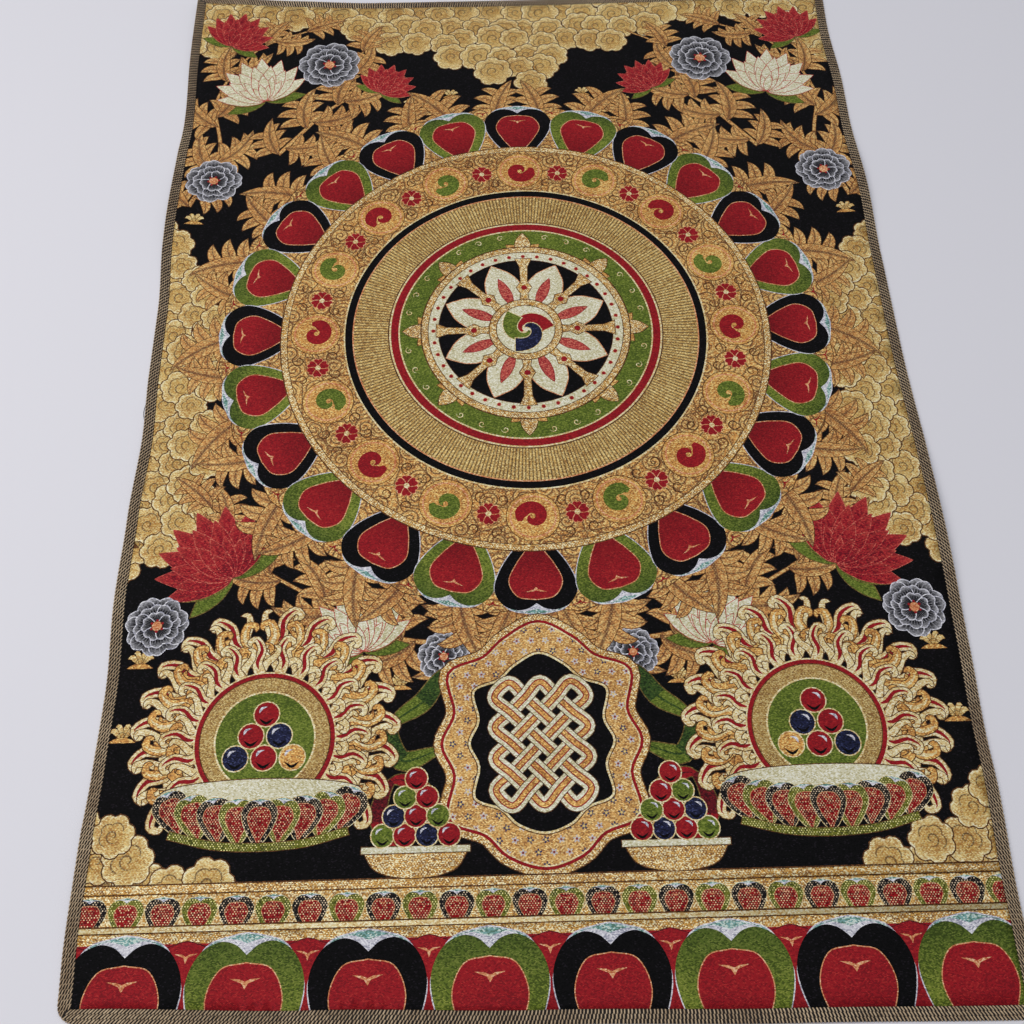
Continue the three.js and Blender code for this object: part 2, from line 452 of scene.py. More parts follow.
def billows_group():
    """A billow's inner lines, a scalloped arc and a curl, and how deep its shade is."""
    gives = (("Mask", "Float"), ("Depth", "Float"))
    tree, wire, given, out = node_group("billow lines", (("Local", "Vector"),), gives)
    x, y, _ = wire.split(given["Local"])
    reach = wire.vector("LENGTH", wire.join(x, y))
    turn = wire.math("ARCTAN2", y, x)
    lobe = wire.math("ABSOLUTE", wire.math("SINE", wire.math("MULTIPLY_ADD", turn, 2.5, 0.5)))
    lobed = wire.math("MULTIPLY_ADD", wire.math("POWER", lobe, 0.7), 0.22, 0.78)
    lobed = wire.math("DIVIDE", reach, lobed)
    arc = wire.ramp(wire.math("ABSOLUTE", wire.math("SUBTRACT", lobed, 0.62)), 0.046, 0.02)
    arc = wire.math("MULTIPLY", arc, wire.ramp(wire.math("SINE", turn), -0.35, -0.2))
    phase = wire.math("SUBTRACT", wire.math("MULTIPLY", reach, 3.4), wire.turn(y, x))
    curl = wire.ramp(wire.from_middle(phase), 0.17, 0.08)
    curl = wire.math("MULTIPLY", curl, wire.ramp(reach, 0.36, 0.32))
    curl = wire.math("MULTIPLY", curl, wire.ramp(reach, 0.05, 0.08))
    wire.plug(out["Mask"], wire.math("MAXIMUM", arc, curl))
    wire.plug(out["Depth"], wire.ramp(lobed, 1.0, 0.45))
    return tree


def fade_group():
    """A shade that deepens along a motif's height, from Start to End."""
    takes = (("Local", "Vector"), ("Start", "Float"), ("End", "Float"))
    tree, wire, given, out = node_group("fade", takes, (("Depth", "Float"),))
    _, y, _ = wire.split(given["Local"])
    past = wire.math("SUBTRACT", y, given["Start"])
    whole = wire.math("SUBTRACT", given["End"], given["Start"])
    wire.plug(out["Depth"], wire.math("DIVIDE", past, whole, clamp=True))
    return tree


def dots_group():
    """Points in slanting rows, some brighter than others, where a yarn's colour is lightened: the raised
    points of glittering thread, whose near-white colour is partly a painted glint, and the painted glints of
    a metal yarn.
    """
    takes = (("Position", "Vector"), ("Across", "Float"), ("Up", "Float"))
    tree, wire, given, out = node_group("glitter points", takes, (("Mask", "Float"),))
    x, y, _ = wire.split(given["Position"])
    v = wire.math("DIVIDE", y, given["Up"])
    row = wire.math("FLOOR", v)
    u = wire.math("MULTIPLY_ADD", row, 0.5, wire.math("DIVIDE", x, given["Across"]))
    noise = wire.node("ShaderNodeTexWhiteNoise", wire.join(wire.math("FLOOR", u), row), noise_dimensions="2D")
    du = wire.math("MULTIPLY", wire.math("SUBTRACT", wire.math("FRACT", u), 0.5), given["Across"])
    dv = wire.math("MULTIPLY", wire.math("SUBTRACT", wire.math("FRACT", v), 0.5), given["Up"])
    point = wire.ramp(wire.vector("LENGTH", wire.join(du, dv)), 0.52, 0.3)
    spark = wire.ramp(noise.outputs["Value"], 0.1, 0.75)
    wire.plug(out["Mask"], wire.math("MULTIPLY", point, spark))
    return tree


def sprigs_group():
    """Tiny five-petalled sprigs on a staggered net, with an eye of their own."""
    takes = (("Position", "Vector"), ("Spacing", "Float"))
    gives = (("Petals", "Float"), ("Eye", "Float"), ("Kind", "Float"))
    tree, wire, given, out = node_group("small sprigs", takes, gives)
    x, y, _ = wire.split(given["Position"])
    v = wire.math("DIVIDE", y, wire.math("MULTIPLY", given["Spacing"], 0.8))
    row = wire.math("FLOOR", v)
    u = wire.math("MULTIPLY_ADD", row, 0.5, wire.math("DIVIDE", x, given["Spacing"]))
    du = wire.math("SUBTRACT", wire.math("FRACT", u), 0.5)
    dv = wire.math("MULTIPLY", wire.math("SUBTRACT", wire.math("FRACT", v), 0.5), 0.8)
    kind = wire.node("ShaderNodeTexWhiteNoise", wire.join(wire.math("FLOOR", u), row))
    radius = wire.vector("LENGTH", wire.join(du, dv))
    turn = wire.math("MULTIPLY_ADD", kind.outputs["Value"], 6.0, wire.math("ARCTAN2", dv, du))
    lobes = wire.math("COSINE", wire.math("MULTIPLY", turn, 5.0))
    reach = wire.math("MULTIPLY_ADD", lobes, 0.07, 0.2)
    wire.plug(out["Petals"], wire.ramp(wire.math("SUBTRACT", reach, radius), 0.0, 0.03))
    wire.plug(out["Eye"], wire.ramp(radius, 0.1, 0.07))
    wire.plug(out["Kind"], kind.outputs["Value"])
    return tree


# Yarns


def tint(r, g, b):
    """A colour from its display values, 0 to 255, as the linear values that shaders take."""
    linear = [c / 255 / 12.92 if c < 11 else ((c / 255 + 0.055) / 1.055) ** 2.4 for c in (r, g, b)]
    return (*linear, 1)


# Each yarn: its colour, the darker and lighter colours of some floats and the shares of these two
# (the lighter floats are partly a paler yarn and partly painted glints, and the lighter colour also
# paints a metal yarn's glints and the highlight beside woven curls), how much floats differ in
# brightness, roughness, metal, the pattern woven into it, the colour of that pattern's lines, and
# what its deepest shade multiplies the colour by

Yarn = namedtuple(
    "Yarn",
    "colour dark light shares uneven rough metal pattern line depth",
    defaults=(0.0, None, None, None),
)

YARNS = {
    "ground": Yarn((8, 7, 9), (2, 2, 3), (26, 22, 28), (0.3, 0.07), 0.5, 0.8),
    "gold": Yarn(
        (214, 152, 74), (140, 84, 34), (252, 218, 140), (0.36, 0.2), 0.44, 0.46,
        metal=0.2, pattern="scrolls", line=(100, 58, 24),
    ),
    "plain_gold": Yarn((216, 156, 76), (160, 100, 40), (250, 214, 132), (0.3, 0.18), 0.32, 0.46, metal=0.2),
    "cloud_gold": Yarn(
        (228, 198, 126), (196, 152, 84), (246, 232, 176), (0.34, 0.22), 0.32, 0.52,
        metal=0.12, pattern="billows", line=(96, 68, 32), depth=(0.78, 0.64, 0.42),
    ),
    "pale_gold": Yarn(
        (228, 206, 146), (196, 156, 90), (248, 238, 200), (0.25, 0.25), 0.22, 0.5,
        metal=0.12,
    ),
    "rayed_gold": Yarn(
        (208, 168, 92), (158, 114, 54), (248, 220, 148), (0.26, 0.22), 0.4, 0.42,
        metal=0.25, pattern="rays", line=(78, 56, 24),
    ),
    "sprigged_gold": Yarn(
        (212, 160, 86), (160, 106, 50), (248, 214, 144), (0.3, 0.18), 0.32, 0.46,
        metal=0.2, pattern="sprigs", line=(40, 42, 84),
    ),
    "glitter_gold": Yarn(
        (204, 152, 66), (140, 92, 34), (255, 240, 190), (0.3, 0.2), 0.45, 0.36,
        metal=0.4, pattern="dots",
    ),
    "leaf": Yarn(
        (222, 162, 88), (166, 106, 48), (250, 214, 138), (0.28, 0.22), 0.34, 0.5,
        metal=0.12, pattern="veins", line=(92, 52, 24), depth=(0.62, 0.46, 0.32),
    ),
    "cream": Yarn((224, 218, 186), (194, 186, 142), (244, 242, 224), (0.26, 0.2), 0.12, 0.62),
    "crimson": Yarn((152, 22, 31), (128, 17, 27), (172, 40, 40), (0.3, 0.1), 0.15, 0.55),
    "petal_crimson": Yarn(
        (156, 26, 38), (112, 14, 30), (188, 60, 56), (0.3, 0.16), 0.26, 0.55,
        pattern="streaks", line=(196, 76, 64),
    ),
    "deep_crimson": Yarn((98, 16, 26), (62, 10, 18), (130, 30, 36), (0.3, 0.12), 0.3, 0.55),
    "crimson_glitter": Yarn(
        (150, 16, 22), (98, 10, 16), (255, 226, 176), (0.34, 0.0), 0.3, 0.5,
        pattern="dots",
    ),
    "petal_green": Yarn(
        (112, 126, 44), (78, 92, 28), (140, 148, 62), (0.36, 0.18), 0.22, 0.56,
        pattern="fade_up", depth=(0.4, 0.5, 0.55),
    ),
    "petal_heart": Yarn(
        (156, 24, 33), (130, 18, 28), (174, 42, 42), (0.3, 0.1), 0.16, 0.55,
        pattern="fade_down", depth=(0.5, 0.44, 0.5),
    ),
    "green": Yarn((102, 118, 40), (74, 90, 28), (130, 142, 60), (0.34, 0.16), 0.22, 0.56),
    "deep_green": Yarn((52, 76, 30), (30, 48, 18), (80, 100, 42), (0.3, 0.14), 0.3, 0.56),
    "olive_glitter": Yarn(
        (110, 112, 34), (68, 72, 22), (255, 244, 168), (0.34, 0.0), 0.3, 0.5,
        pattern="dots",
    ),
    "black_glitter": Yarn((20, 14, 17), (8, 6, 8), (246, 222, 186), (0.34, 0.0), 0.4, 0.5, pattern="dots"),
    "navy": Yarn((28, 32, 62), (14, 16, 34), (60, 66, 104), (0.3, 0.12), 0.4, 0.55),
    "petal_navy": Yarn(
        (14, 13, 19), (6, 6, 9), (40, 40, 52), (0.3, 0.14), 0.4, 0.6,
        pattern="streaks", line=(206, 205, 210),
    ),
    "lilac": Yarn((208, 206, 214), (156, 157, 172), (238, 237, 240), (0.25, 0.25), 0.14, 0.58),
    "teal": Yarn((126, 170, 166), (92, 128, 112), (206, 222, 212), (0.3, 0.3), 0.18, 0.58),
    "salmon": Yarn((222, 154, 106), (190, 108, 68), (240, 194, 152), (0.3, 0.2), 0.24, 0.5),
    "rose": Yarn((190, 78, 70), (148, 42, 46), (214, 122, 100), (0.3, 0.2), 0.24, 0.55),
    "brown": Yarn((94, 57, 28), (60, 37, 20), (126, 82, 44), (0.3, 0.15), 0.3, 0.6),
    "olive": Yarn((106, 86, 42), (76, 60, 28), (138, 118, 64), (0.3, 0.18), 0.3, 0.6),
    "reverse": Yarn((84, 66, 48), (30, 26, 28), (176, 136, 84), (0.3, 0.2), 0.4, 0.72, pattern="floats"),
}

# Each pattern of lines: its node group, the place that it reads, its own values and its strength.
# One that reads Local follows the motif that it lies in, and the other one runs through the cloth.

LINES = {
    "scrolls": ("scrolls", "Position", dict(Patch=19.5, Turns=2.6, Line=0.25), 0.95),
    "rays": ("rays", "Local", dict(Count=300.0, Share=0.26), 0.9),
    "streaks": ("streaks", "Local", {}, 0.8),
    "veins": ("veins", "Local", dict(Count=6.0, Slope=7.0), 0.85),
    "billows": ("billows", "Local", {}, 0.9),
    "fade_up": ("fade", "Local", dict(Start=0.5, End=1.0), 0.0),
    "fade_down": ("fade", "Local", dict(Start=0.75, End=0.0), 0.0),
}
LOCAL_PATTERNS = [name for name, (_, space, _, _) in LINES.items() if space == "Local"]

FACE_FLOATS = dict(Float=1.1, Pick=0.62, Step=0.5)  # a float's length, row to row, and their stagger
BACK_FLOATS = dict(Float=9.0, Pick=0.9, Step=0.61)
BACK_SHADE = (28, 24, 26)
UNEVEN_PATCH = 34.0
# A glittering yarn's raised points take its near-white light colour: partly the metal thread's own colour,
# partly a painted glint.
GLITTER_NET = dict(Across=1.8, Up=1.3)  # the raised points of a glittering yarn
# A metal yarn's glints are painted: its colour is lightened towards its light colour at these points.
PAINTED_GLINT_NET = dict(Across=2.1, Up=1.5)  # the points where a metal yarn glints
GLINT = 0.5  # how far a metal float may tilt its gleam
SPRIG_NET = 10.0
SPRIG_PETAL = (206, 200, 200)
SPRIG_EYES = ((132, 34, 34), (230, 200, 120))


def yarn_material(name, groups):
    """One yarn's look: woven floats of three shades, woven-in lines and a little gleam, with painted shade on
    each float's round sides and painted glints.
    """
    look = YARNS[name]
    light = tint(*look.light)
    material, wire, shader = new_material(f"{name}_yarn")
    place = wire.node("ShaderNodeTexCoord").outputs
    position = wire.vector("MULTIPLY", place["Object"], (1 / MM, 1 / MM, 1 / MM))
    spaces = {"Position": position, "Local": place["UV"]}
    weave = wire.group(groups["weave"], Position=position, **FACE_FLOATS)
    patches = wire.group(groups["mottle"], Position=position, Patch=UNEVEN_PATCH)["Mask"]
    dark_share, light_share = look.shares
    darker = wire.math("MULTIPLY", wire.math("MULTIPLY_ADD", patches, -1.1, 1.55), dark_share)
    darker = wire.math("LESS_THAN", weave["Thread"], darker)
    # the lighter floats: partly a paler yarn, partly painted glints where a float would catch the light
    lighter_or_glint = wire.math("MULTIPLY_ADD", patches, -0.9 * light_share, 1 - 0.55 * light_share)
    lighter_or_glint = wire.math("GREATER_THAN", weave["Thread"], lighter_or_glint)
    colour = wire.mix(lighter_or_glint, wire.mix(darker, tint(*look.colour), tint(*look.dark)), light)
    height = weave["Height"]
    if look.pattern in LINES:
        group, space, values, strength = LINES[look.pattern]
        lines = wire.group(groups[group], **{space: spaces[space]}, **values)
        # painted highlight beside each curl line, as if the embossed ground caught the light
        if "Shine" in lines:
            colour = wire.mix(wire.math("MULTIPLY", lines["Shine"], 0.4), colour, light)
        if "Depth" in lines:
            colour = wire.mix(lines["Depth"], colour, wire.vector("MULTIPLY", colour, look.depth))
        if "Mask" in lines:
            broken = wire.math("MULTIPLY", wire.math("MULTIPLY_ADD", weave["Shade"], 0.7, 0.55), strength)
            colour = wire.mix(wire.math("MULTIPLY", lines["Mask"], broken), colour, tint(*look.line))
            height = wire.math("MULTIPLY_ADD", lines["Mask"], -0.9, height)
    elif look.pattern == "dots":
        # the glitter yarn's raised points of metal thread, their near-white colour partly a painted glint
        dots = wire.group(groups["dots"], Position=position, **GLITTER_NET)["Mask"]
        colour = wire.mix(dots, colour, light)
    elif look.pattern == "sprigs":
        sprigs = wire.group(groups["sprigs"], Position=position, Spacing=SPRIG_NET)
        pale = wire.math("LESS_THAN", sprigs["Kind"], 0.45)
        colour = wire.mix(sprigs["Petals"], colour, wire.mix(pale, tint(*SPRIG_PETAL), tint(*look.line)))
        golden = wire.math("LESS_THAN", sprigs["Kind"], 0.5)
        colour = wire.mix(sprigs["Eye"], colour, wire.mix(golden, *(tint(*eye) for eye in SPRIG_EYES)))
    elif look.pattern == "floats":
        stripes = wire.group(groups["weave"], Position=position, **BACK_FLOATS)["Thread"]
        colour = wire.mix(wire.math("MULTIPLY", stripes, 0.5), colour, tint(*BACK_SHADE))
    # painted glints: a metal yarn's colour is lightened at points in slanting rows, for the gleam of its
    # tinsel
    if look.metal and look.pattern != "dots":
        painted_glints = wire.group(groups["dots"], Position=position, **PAINTED_GLINT_NET)["Mask"]
        colour = wire.mix(wire.math("MULTIPLY", painted_glints, 0.5), colour, light)
    shade = wire.math("MULTIPLY_ADD", weave["Shade"], look.uneven, 1 - look.uneven * 0.5)
    # painted shade: each float's colour darkens towards its sides and ends, where its round thread dips and
    # turns from the light
    shade = wire.math("MULTIPLY", shade, wire.math("MULTIPLY_ADD", weave["Height"], 0.4, 0.74))
    normal = wire.bump(height, 0.5, 0.00022)
    if look.metal:
        tilt = wire.vector("MULTIPLY", weave["Tilt"], (GLINT * look.metal, GLINT * look.metal, 0.0))
        normal = wire.vector("NORMALIZE", wire.vector("ADD", normal, tilt))
    wire.plug(shader.inputs["Base Color"], wire.vector("MULTIPLY", colour, wire.join(shade, shade, shade)))
    wire.plug(shader.inputs["Normal"], normal)
    metallic = wire.math("MULTIPLY", dots, 0.6) if look.pattern == "dots" else look.metal
    wire.plug(shader.inputs["Metallic"], metallic)
    shader.inputs["Roughness"].default_value = look.rough
    shader.inputs["Specular IOR Level"].default_value = 0.4 if look.metal else 0.12
    return material


def thread_material(name, main, second, rough):
    """Plied overlock thread: fine slanting plies along each strand, fuzzy and matte."""
    material, wire, shader = new_material(name)
    position = wire.node("ShaderNodeTexCoord").outputs["Object"]
    fuzz = wire.noise(position, 420.0, 3.0)
    slow = wire.noise(position, 22.0, 2.0)
    plies = wire.node("ShaderNodeTexWave", position, bands_direction="DIAGONAL")
    plies.inputs["Scale"].default_value = 900.0
    plies.inputs["Distortion"].default_value = 2.0
    share = wire.math("MULTIPLY_ADD", slow, 0.6, wire.math("MULTIPLY", fuzz, 0.6))
    wire.plug(shader.inputs["Base Color"], wire.mix(wire.ramp(share, 0.42, 0.78), tint(*main), tint(*second)))
    wire.plug(shader.inputs["Normal"], wire.bump(wire.math("ADD", plies.outputs["Fac"], fuzz), 0.4, 0.0001))
    shader.inputs["Roughness"].default_value = rough
    shader.inputs["Sheen Weight"].default_value = 0.15
    shader.inputs["Sheen Roughness"].default_value = 0.4
    return material


# Drawn curves, as lists of complex points


def smooth(points, steps, closed=True):
    """A smooth curve through the points."""
    count = len(points)
    curve = []
    for i in range(count if closed else count - 1):
        if closed:
            a, b, c, d = (points[(i + k) % count] for k in (-1, 0, 1, 2))
        else:
            b, c = points[i], points[i + 1]
            a = points[i - 1] if i else 2 * b - c
            d = points[i + 2] if i + 2 < count else 2 * c - b
        for k in range(steps):
            t = k / steps
            bend = (2 * a - 5 * b + 4 * c - d) * t * t + (3 * b - a - 3 * c + d) * t**3
            curve.append(0.5 * (2 * b + (c - a) * t + bend))
    if not closed:
        curve.append(points[-1])
    return curve


def both_sides(half):
    """A closed outline from its right half, which runs from the foot to the tip."""
    mirrored = [-z.conjugate() for z in reversed(half) if abs(z.real) > 1e-9]
    return list(half) + mirrored


def circle(radius, count, middle=0):
    return [middle + radius * cmath.exp(2j * math.pi * k / count) for k in range(count)]


def scallop(lobes, depth):
    """A round outline of bulging lobes, about 1 unit in radius."""
    per = 4  # points to a lobe
    curve = []
    for k in range(lobes * per):
        bulge = abs(math.sin(math.pi * k / per)) ** 0.7
        curve.append((1 - depth + depth * bulge) * cmath.exp(2j * math.pi * k / (lobes * per)))
    return curve


def petal(width, shape, steps=4):
    """A petal of length 1 from 0 to 1j. shape is its right half: share of the width, height."""
    half = smooth([complex(x * width, y) for x, y in shape], steps, closed=False)
    return both_sides(half)


POINTED = ((0.0, 0.0), (0.3, 0.12), (0.5, 0.4), (0.4, 0.7), (0.13, 0.92), (0.0, 1.0))
ROUND = ((0.0, 0.0), (0.2, 0.12), (0.42, 0.4), (0.52, 0.68), (0.36, 0.92), (0.12, 0.985), (0.0, 1.0))
HEART = ((0.0, 0.0), (0.22, 0.2), (0.46, 0.55), (0.5, 0.8), (0.32, 0.99), (0.1, 0.95), (0.0, 0.88))
DROP_UP = ((0.0, 0.0), (0.14, 0.2), (0.36, 0.45), (0.5, 0.72), (0.34, 0.95), (0.0, 1.0))


def ribbon(path, widths):
    """A band round the path; widths are its full widths at the path's points, ends may be 0."""
    left, right = [], []
    last = len(path) - 1
    for i, z in enumerate(path):
        ahead = path[min(i + 1, last)] - path[max(i - 1, 0)]
        side = 1j * ahead / (abs(ahead) or 1)
        left.append(z + side * widths[i] / 2)
        right.append(z - side * widths[i] / 2)
    if widths[0] < 1e-6:
        left = left[1:]
    if widths[-1] < 1e-6:
        left = left[:-1]
    return right + left[::-1]


def tapered(path, width, fat=0.35):
    """A stroke along the path, pointed at both ends and widest at the share fat of it."""
    last = len(path) - 1
    widths = []
    for i in range(last + 1):
        t = i / last
        rise = math.sin(math.pi / 2 * t / fat) if t < fat else math.cos(math.pi / 2 * (t - fat) / (1 - fat))
        widths.append(width * rise)
    widths[0] = widths[-1] = 0.0
    return ribbon(path, widths)


def spiral(turns, start, end, count):
    """A path that winds in from start to end round 0."""
    path = []
    for k in range(count + 1):
        t = k / count
        radius = start + (end - start) * t**0.8
        path.append(radius * cmath.exp(2j * math.pi * turns * t))
    return path


def cartesian(radius, degrees):
    """The x and y of a point at a radius and a turn anticlockwise from straight up."""
    z = radius * cmath.exp(1j * math.radians(degrees + 90))
    return z.real, z.imag


def signed_area(points):
    return 0.5 * sum((a.conjugate() * b).imag for a, b in zip(points, points[1:] + points[:1]))


def inside(z, outline):
    """Whether a point lies in a closed outline."""
    within = False
    for a, b in zip(outline, outline[1:] + outline[:1]):
        if (a.imag > z.imag) != (b.imag > z.imag):
            crossing = a.real + (z.imag - a.imag) / (b.imag - a.imag) * (b.real - a.real)
            within ^= crossing > z.real
    return within


def grown(points, width):
    """An anticlockwise outline moved outwards."""
    count = len(points)
    moved = []
    for i, z in enumerate(points):
        a, b = z - points[i - 1], points[(i + 1) % count] - z
        a, b = -1j * a / (abs(a) or 1), -1j * b / (abs(b) or 1)
        both = a + b
        if abs(both) < 0.3:
            both = a * 0.6
        moved.append(z + width * 2 * both / max(abs(both) ** 2, 1.4))
    return moved


class Place:
    """Where a motif lies: its origin, turn in degrees, size, whether it is mirrored, and the angle
    that its spine, from 0 to 1j, is bent through."""

    def __init__(self, x=0.0, y=0.0, turn=0.0, size=1.0, mirrored=False, bend=0.0):
        self.origin = complex(x, y)
        self.factor = size * cmath.exp(1j * math.radians(turn))
        self.mirrored = mirrored
        self.bend = bend

    def spot(self, z):
        if self.bend:
            turned = cmath.exp(-1j * self.bend * z.imag)
            z = (1 - turned) / self.bend + z.real * turned
        return self.origin + self.factor * (-z.conjugate() if self.mirrored else z)

    def put(self, x=0.0, y=0.0, turn=0.0, size=1.0, mirrored=False, bend=0.0):
        """A place given within this one."""
        inner = Place(x, y, turn, size, mirrored, bend)
        origin, factor = self.spot(inner.origin), inner.factor
        inner.origin = origin
        inner.factor = self.factor * (factor.conjugate() if self.mirrored else factor)
        inner.mirrored = self.mirrored != mirrored
        return inner


WHOLE = Place()
BOTH = (Place(), Place(mirrored=True))

LEAST_STEP = 0.5  # drawn points closer than this are one
BEYOND = 6  # a shape that lies this far outside the panel is left out


class Cartoon:
    """The weaver's drawing: shapes laid over each other, each in one yarn."""

    def __init__(self):
        self.points = []
        self.shapes = []
        self.yarns = []
        self.places = []
        self.areas = []

    def add(self, points, yarn, place):
        kept = []
        for z in points:
            z = complex(round(z.real, 3), round(z.imag, 3))
            if not kept or abs(z - kept[-1]) > LEAST_STEP:
                kept.append(z)
        while len(kept) > 2 and abs(kept[0] - kept[-1]) < LEAST_STEP:
            kept.pop()
        if len(kept) < 3 or signed_area(kept) <= 0.02:
            return
        xs, ys = [z.real for z in kept], [z.imag for z in kept]
        across, up = WIDTH / 2 + BEYOND, HEIGHT / 2 + BEYOND
        if max(xs) < -across or min(xs) > across or max(ys) < -up or min(ys) > up:
            return
        middle = sum(kept) / len(kept)
        first = max(range(len(kept)), key=lambda i: abs(kept[i] - middle))
        kept = kept[first:] + kept[:first]
        start = len(self.points)
        self.points.extend(kept)
        self.shapes.append(list(range(start, start + len(kept))))
        self.yarns.append(yarn)
        self.places.append(place)
        self.areas.append(signed_area(kept))

    def lay(self, outline, yarn, place=WHOLE, edge=None, width=0.8, rim=None, rim_width=1.2):
        """One shape, with an edge line round it and a rim inside that where they are given."""
        spots = [place.spot(z) for z in outline]
        if signed_area(spots) < 0:
            spots.reverse()
        if edge:
            self.add(grown(spots, width), edge, place)
        if rim:
            self.add(spots, rim, place)
            spots = grown(spots, -rim_width)
        self.add(spots, yarn, place)


cartoon = Cartoon()
lay = cartoon.lay


# Motifs


PETAL_BAND = (
    (0.0, 0.0),
    (0.2, 0.12),
    (0.42, 0.4),
    (0.52, 0.68),
    (0.43, 0.87),
    (0.26, 0.95),
    (0.11, 0.935),
    (0.0, 0.87),
)
PETAL_SHEEN = (
    (0.0, 0.5),
    (0.2, 0.55),
    (0.4, 0.66),
    (0.47, 0.78),
    (0.38, 0.9),
    (0.2, 0.968),
    (0.06, 0.955),
    (0.0, 0.94),
)
HEART_MARK = ((0.0, 0.665), (0.03, 0.7), (0.14, 0.73), (0.05, 0.725), (0.0, 0.71))
BACK_MARK = ((0.0, 0.86), (0.03, 0.9), (0.16, 0.925), (0.05, 0.92), (0.0, 0.905))


def petal_mark(place, width, shape, yarn):
    """The small spread mark on a petal."""
    lay(both_sides([complex(x * width, y) for x, y in shape]), yarn, place)


def big_petal(place, width, band, core="petal_heart", edge="lilac", line=0.9):
    """A broad lotus petal: a dark or green band round a red heart, with a pale cap at its tip."""
    lay(petal(width, ROUND, 5), "teal", place, edge=edge, width=line)
    lay(petal(width, PETAL_SHEEN, 4), "lilac", place)
    lay(petal(width * 1.015, PETAL_BAND, 5), band, place)
    heart = place.put(y=0.02, size=0.8)
    lay(petal(width * 0.84, DROP_UP, 5), core, heart, edge="salmon", width=line * 0.75)
    petal_mark(place, width, HEART_MARK, "salmon")


def back_petal(place, width, core="petal_heart", edge="deep_crimson", mark_yarn="salmon"):
    """The plain petal that shows between two broad ones."""
    lay(petal(width, ROUND, 4), core, place, edge=edge, width=0.7)
    petal_mark(place, width, BACK_MARK, mark_yarn)


def slim_petal(place, width, fill, edge, line=0.7):
    lay(petal(width, POINTED), fill, place, edge=edge, width=line)


LOTUS_ROWS = (
    ((70, 0.84), (-70, 0.84), (50, 0.95), (-50, 0.95), (30, 1.0), (-30, 1.0), (10, 1.04), (-10, 1.04)),
    ((60, 0.7), (-60, 0.7), (40, 0.78), (-40, 0.78), (20, 0.84), (-20, 0.84), (0, 0.86)),
    ((46, 0.52), (-46, 0.52), (26, 0.58), (-26, 0.58), (9, 0.62), (-9, 0.62)),
    ((22, 0.36), (-22, 0.36), (0, 0.4)),
)


def side_lotus(place, fill="petal_crimson"):
    """A lotus seen from the side, about 1 unit tall, opening along its own height."""
    for turn, size in ((98, 0.7), (-98, 0.7), (78, 0.66), (-78, 0.66)):
        slim_petal(place.put(turn=turn, size=size), 0.34, "green", "olive")
    for row in LOTUS_ROWS:
        for turn, size in row:
            slim_petal(place.put(turn=turn, size=size), 0.32, fill, "rose", 0.55)


def peony(place):
    """A full flower seen from above, 1 unit in radius."""
    for count, size, turn in ((7, 1.0, 0), (6, 0.74, 24), (5, 0.48, 8)):
        for k in range(count):
            spot = place.put(turn=turn + 360 * k / count, size=size)
            lay(petal(0.98, HEART), "petal_navy", spot, edge="lilac", width=0.75)
    lay(circle(0.17, 10), "salmon", place, edge="brown", width=0.5)
    for k in range(6):
        lay(circle(0.05, 6), "crimson", place.put(*cartesian(0.2, 60 * k)))


LANCE = ((0.0, 0.0), (0.34, 0.14), (0.5, 0.4), (0.34, 0.74), (0.0, 1.0))
LEAF_LOBES = ((0.5, 26, 0.42), (0.3, 34, 0.48), (0.12, 44, 0.46))  # height, turn and size
LEAF_WIDE = 0.34


def leaf(place):
    """A leaf 1 unit long, with pairs of lobes that curl away from its blade."""
    for low, turn, size in LEAF_LOBES:
        for side in (-1, 1):
            lobe = place.put(0, low, -side * turn, size, bend=side * 1.25)
            lay(petal(LEAF_WIDE * 1.15, LANCE, 3), "leaf", lobe, edge="brown", width=0.55)
    lay(petal(LEAF_WIDE * 0.75, LANCE, 3), "leaf", place, edge="brown", width=0.55)


def comma(place, fill):
    """A fat curl, 1 unit in radius, that hooks in on itself, with a ring line round it."""
    lay(circle(1.2, 26), "plain_gold", place, edge="brown", width=0.6)
    lay(circle(1.07, 26), "salmon", place)
    lay(circle(0.99, 26), "plain_gold", place)
    path = spiral(1.16, 0.64, 0.14, 24)
    widths = [0.62 * min(1, 0.35 + 0.3 * k) * (1 - (k / 24) ** 2.4) for k in range(25)]
    widths[-1] = 0.0
    lay(ribbon(path, widths), fill, place)


def volute(place, turns, line, width):
    """A thin curl line, 1 unit in radius."""
    lay(tapered(spiral(turns, 1.0, 0.12, int(11 * turns)), width, 0.3), line, place)


def puff(place, radius):
    """One billow of a cloud."""
    lay(scallop(7, 0.15), "cloud_gold", place.put(size=radius), "brown", 0.85, "pale_gold", 1.1)


def cloud_bank(place, outline, pitch, front, seed):
    """Billows that fill an outline, laid row by row towards the front."""
    rng = random.Random(seed)
    xs, ys = [z.real for z in outline], [z.imag for z in outline]
    spots = []
    row = 0
    y = min(ys)
    while y <= max(ys):
        x = min(xs) + (pitch / 2 if row % 2 else 0)
        while x <= max(xs):
            z = complex(x + rng.uniform(-0.16, 0.16) * pitch, y + rng.uniform(-0.16, 0.16) * pitch)
            if inside(z, outline):
                spots.append(((z * front.conjugate()).real, z.real, z.imag))
            x += pitch
        y += pitch * 0.82
        row += 1
    for _, x, y in sorted(spots):
        puff(place.put(x, y, rng.uniform(0, 51)), pitch * rng.uniform(0.6, 0.82))


FLAME_TONGUES = (
    ((0j, 0.12 + 0.2j, 0.36 + 0.34j, 0.5 + 0.24j, 0.44 + 0.12j), 0.2),
    ((0j, -0.12 + 0.26j, -0.34 + 0.46j, -0.42 + 0.66j, -0.3 + 0.74j), 0.19),
    ((0j, 0.1 + 0.3j, 0.0 + 0.62j, 0.14 + 0.9j, 0.32 + 0.84j, 0.28 + 0.72j), 0.24),
)


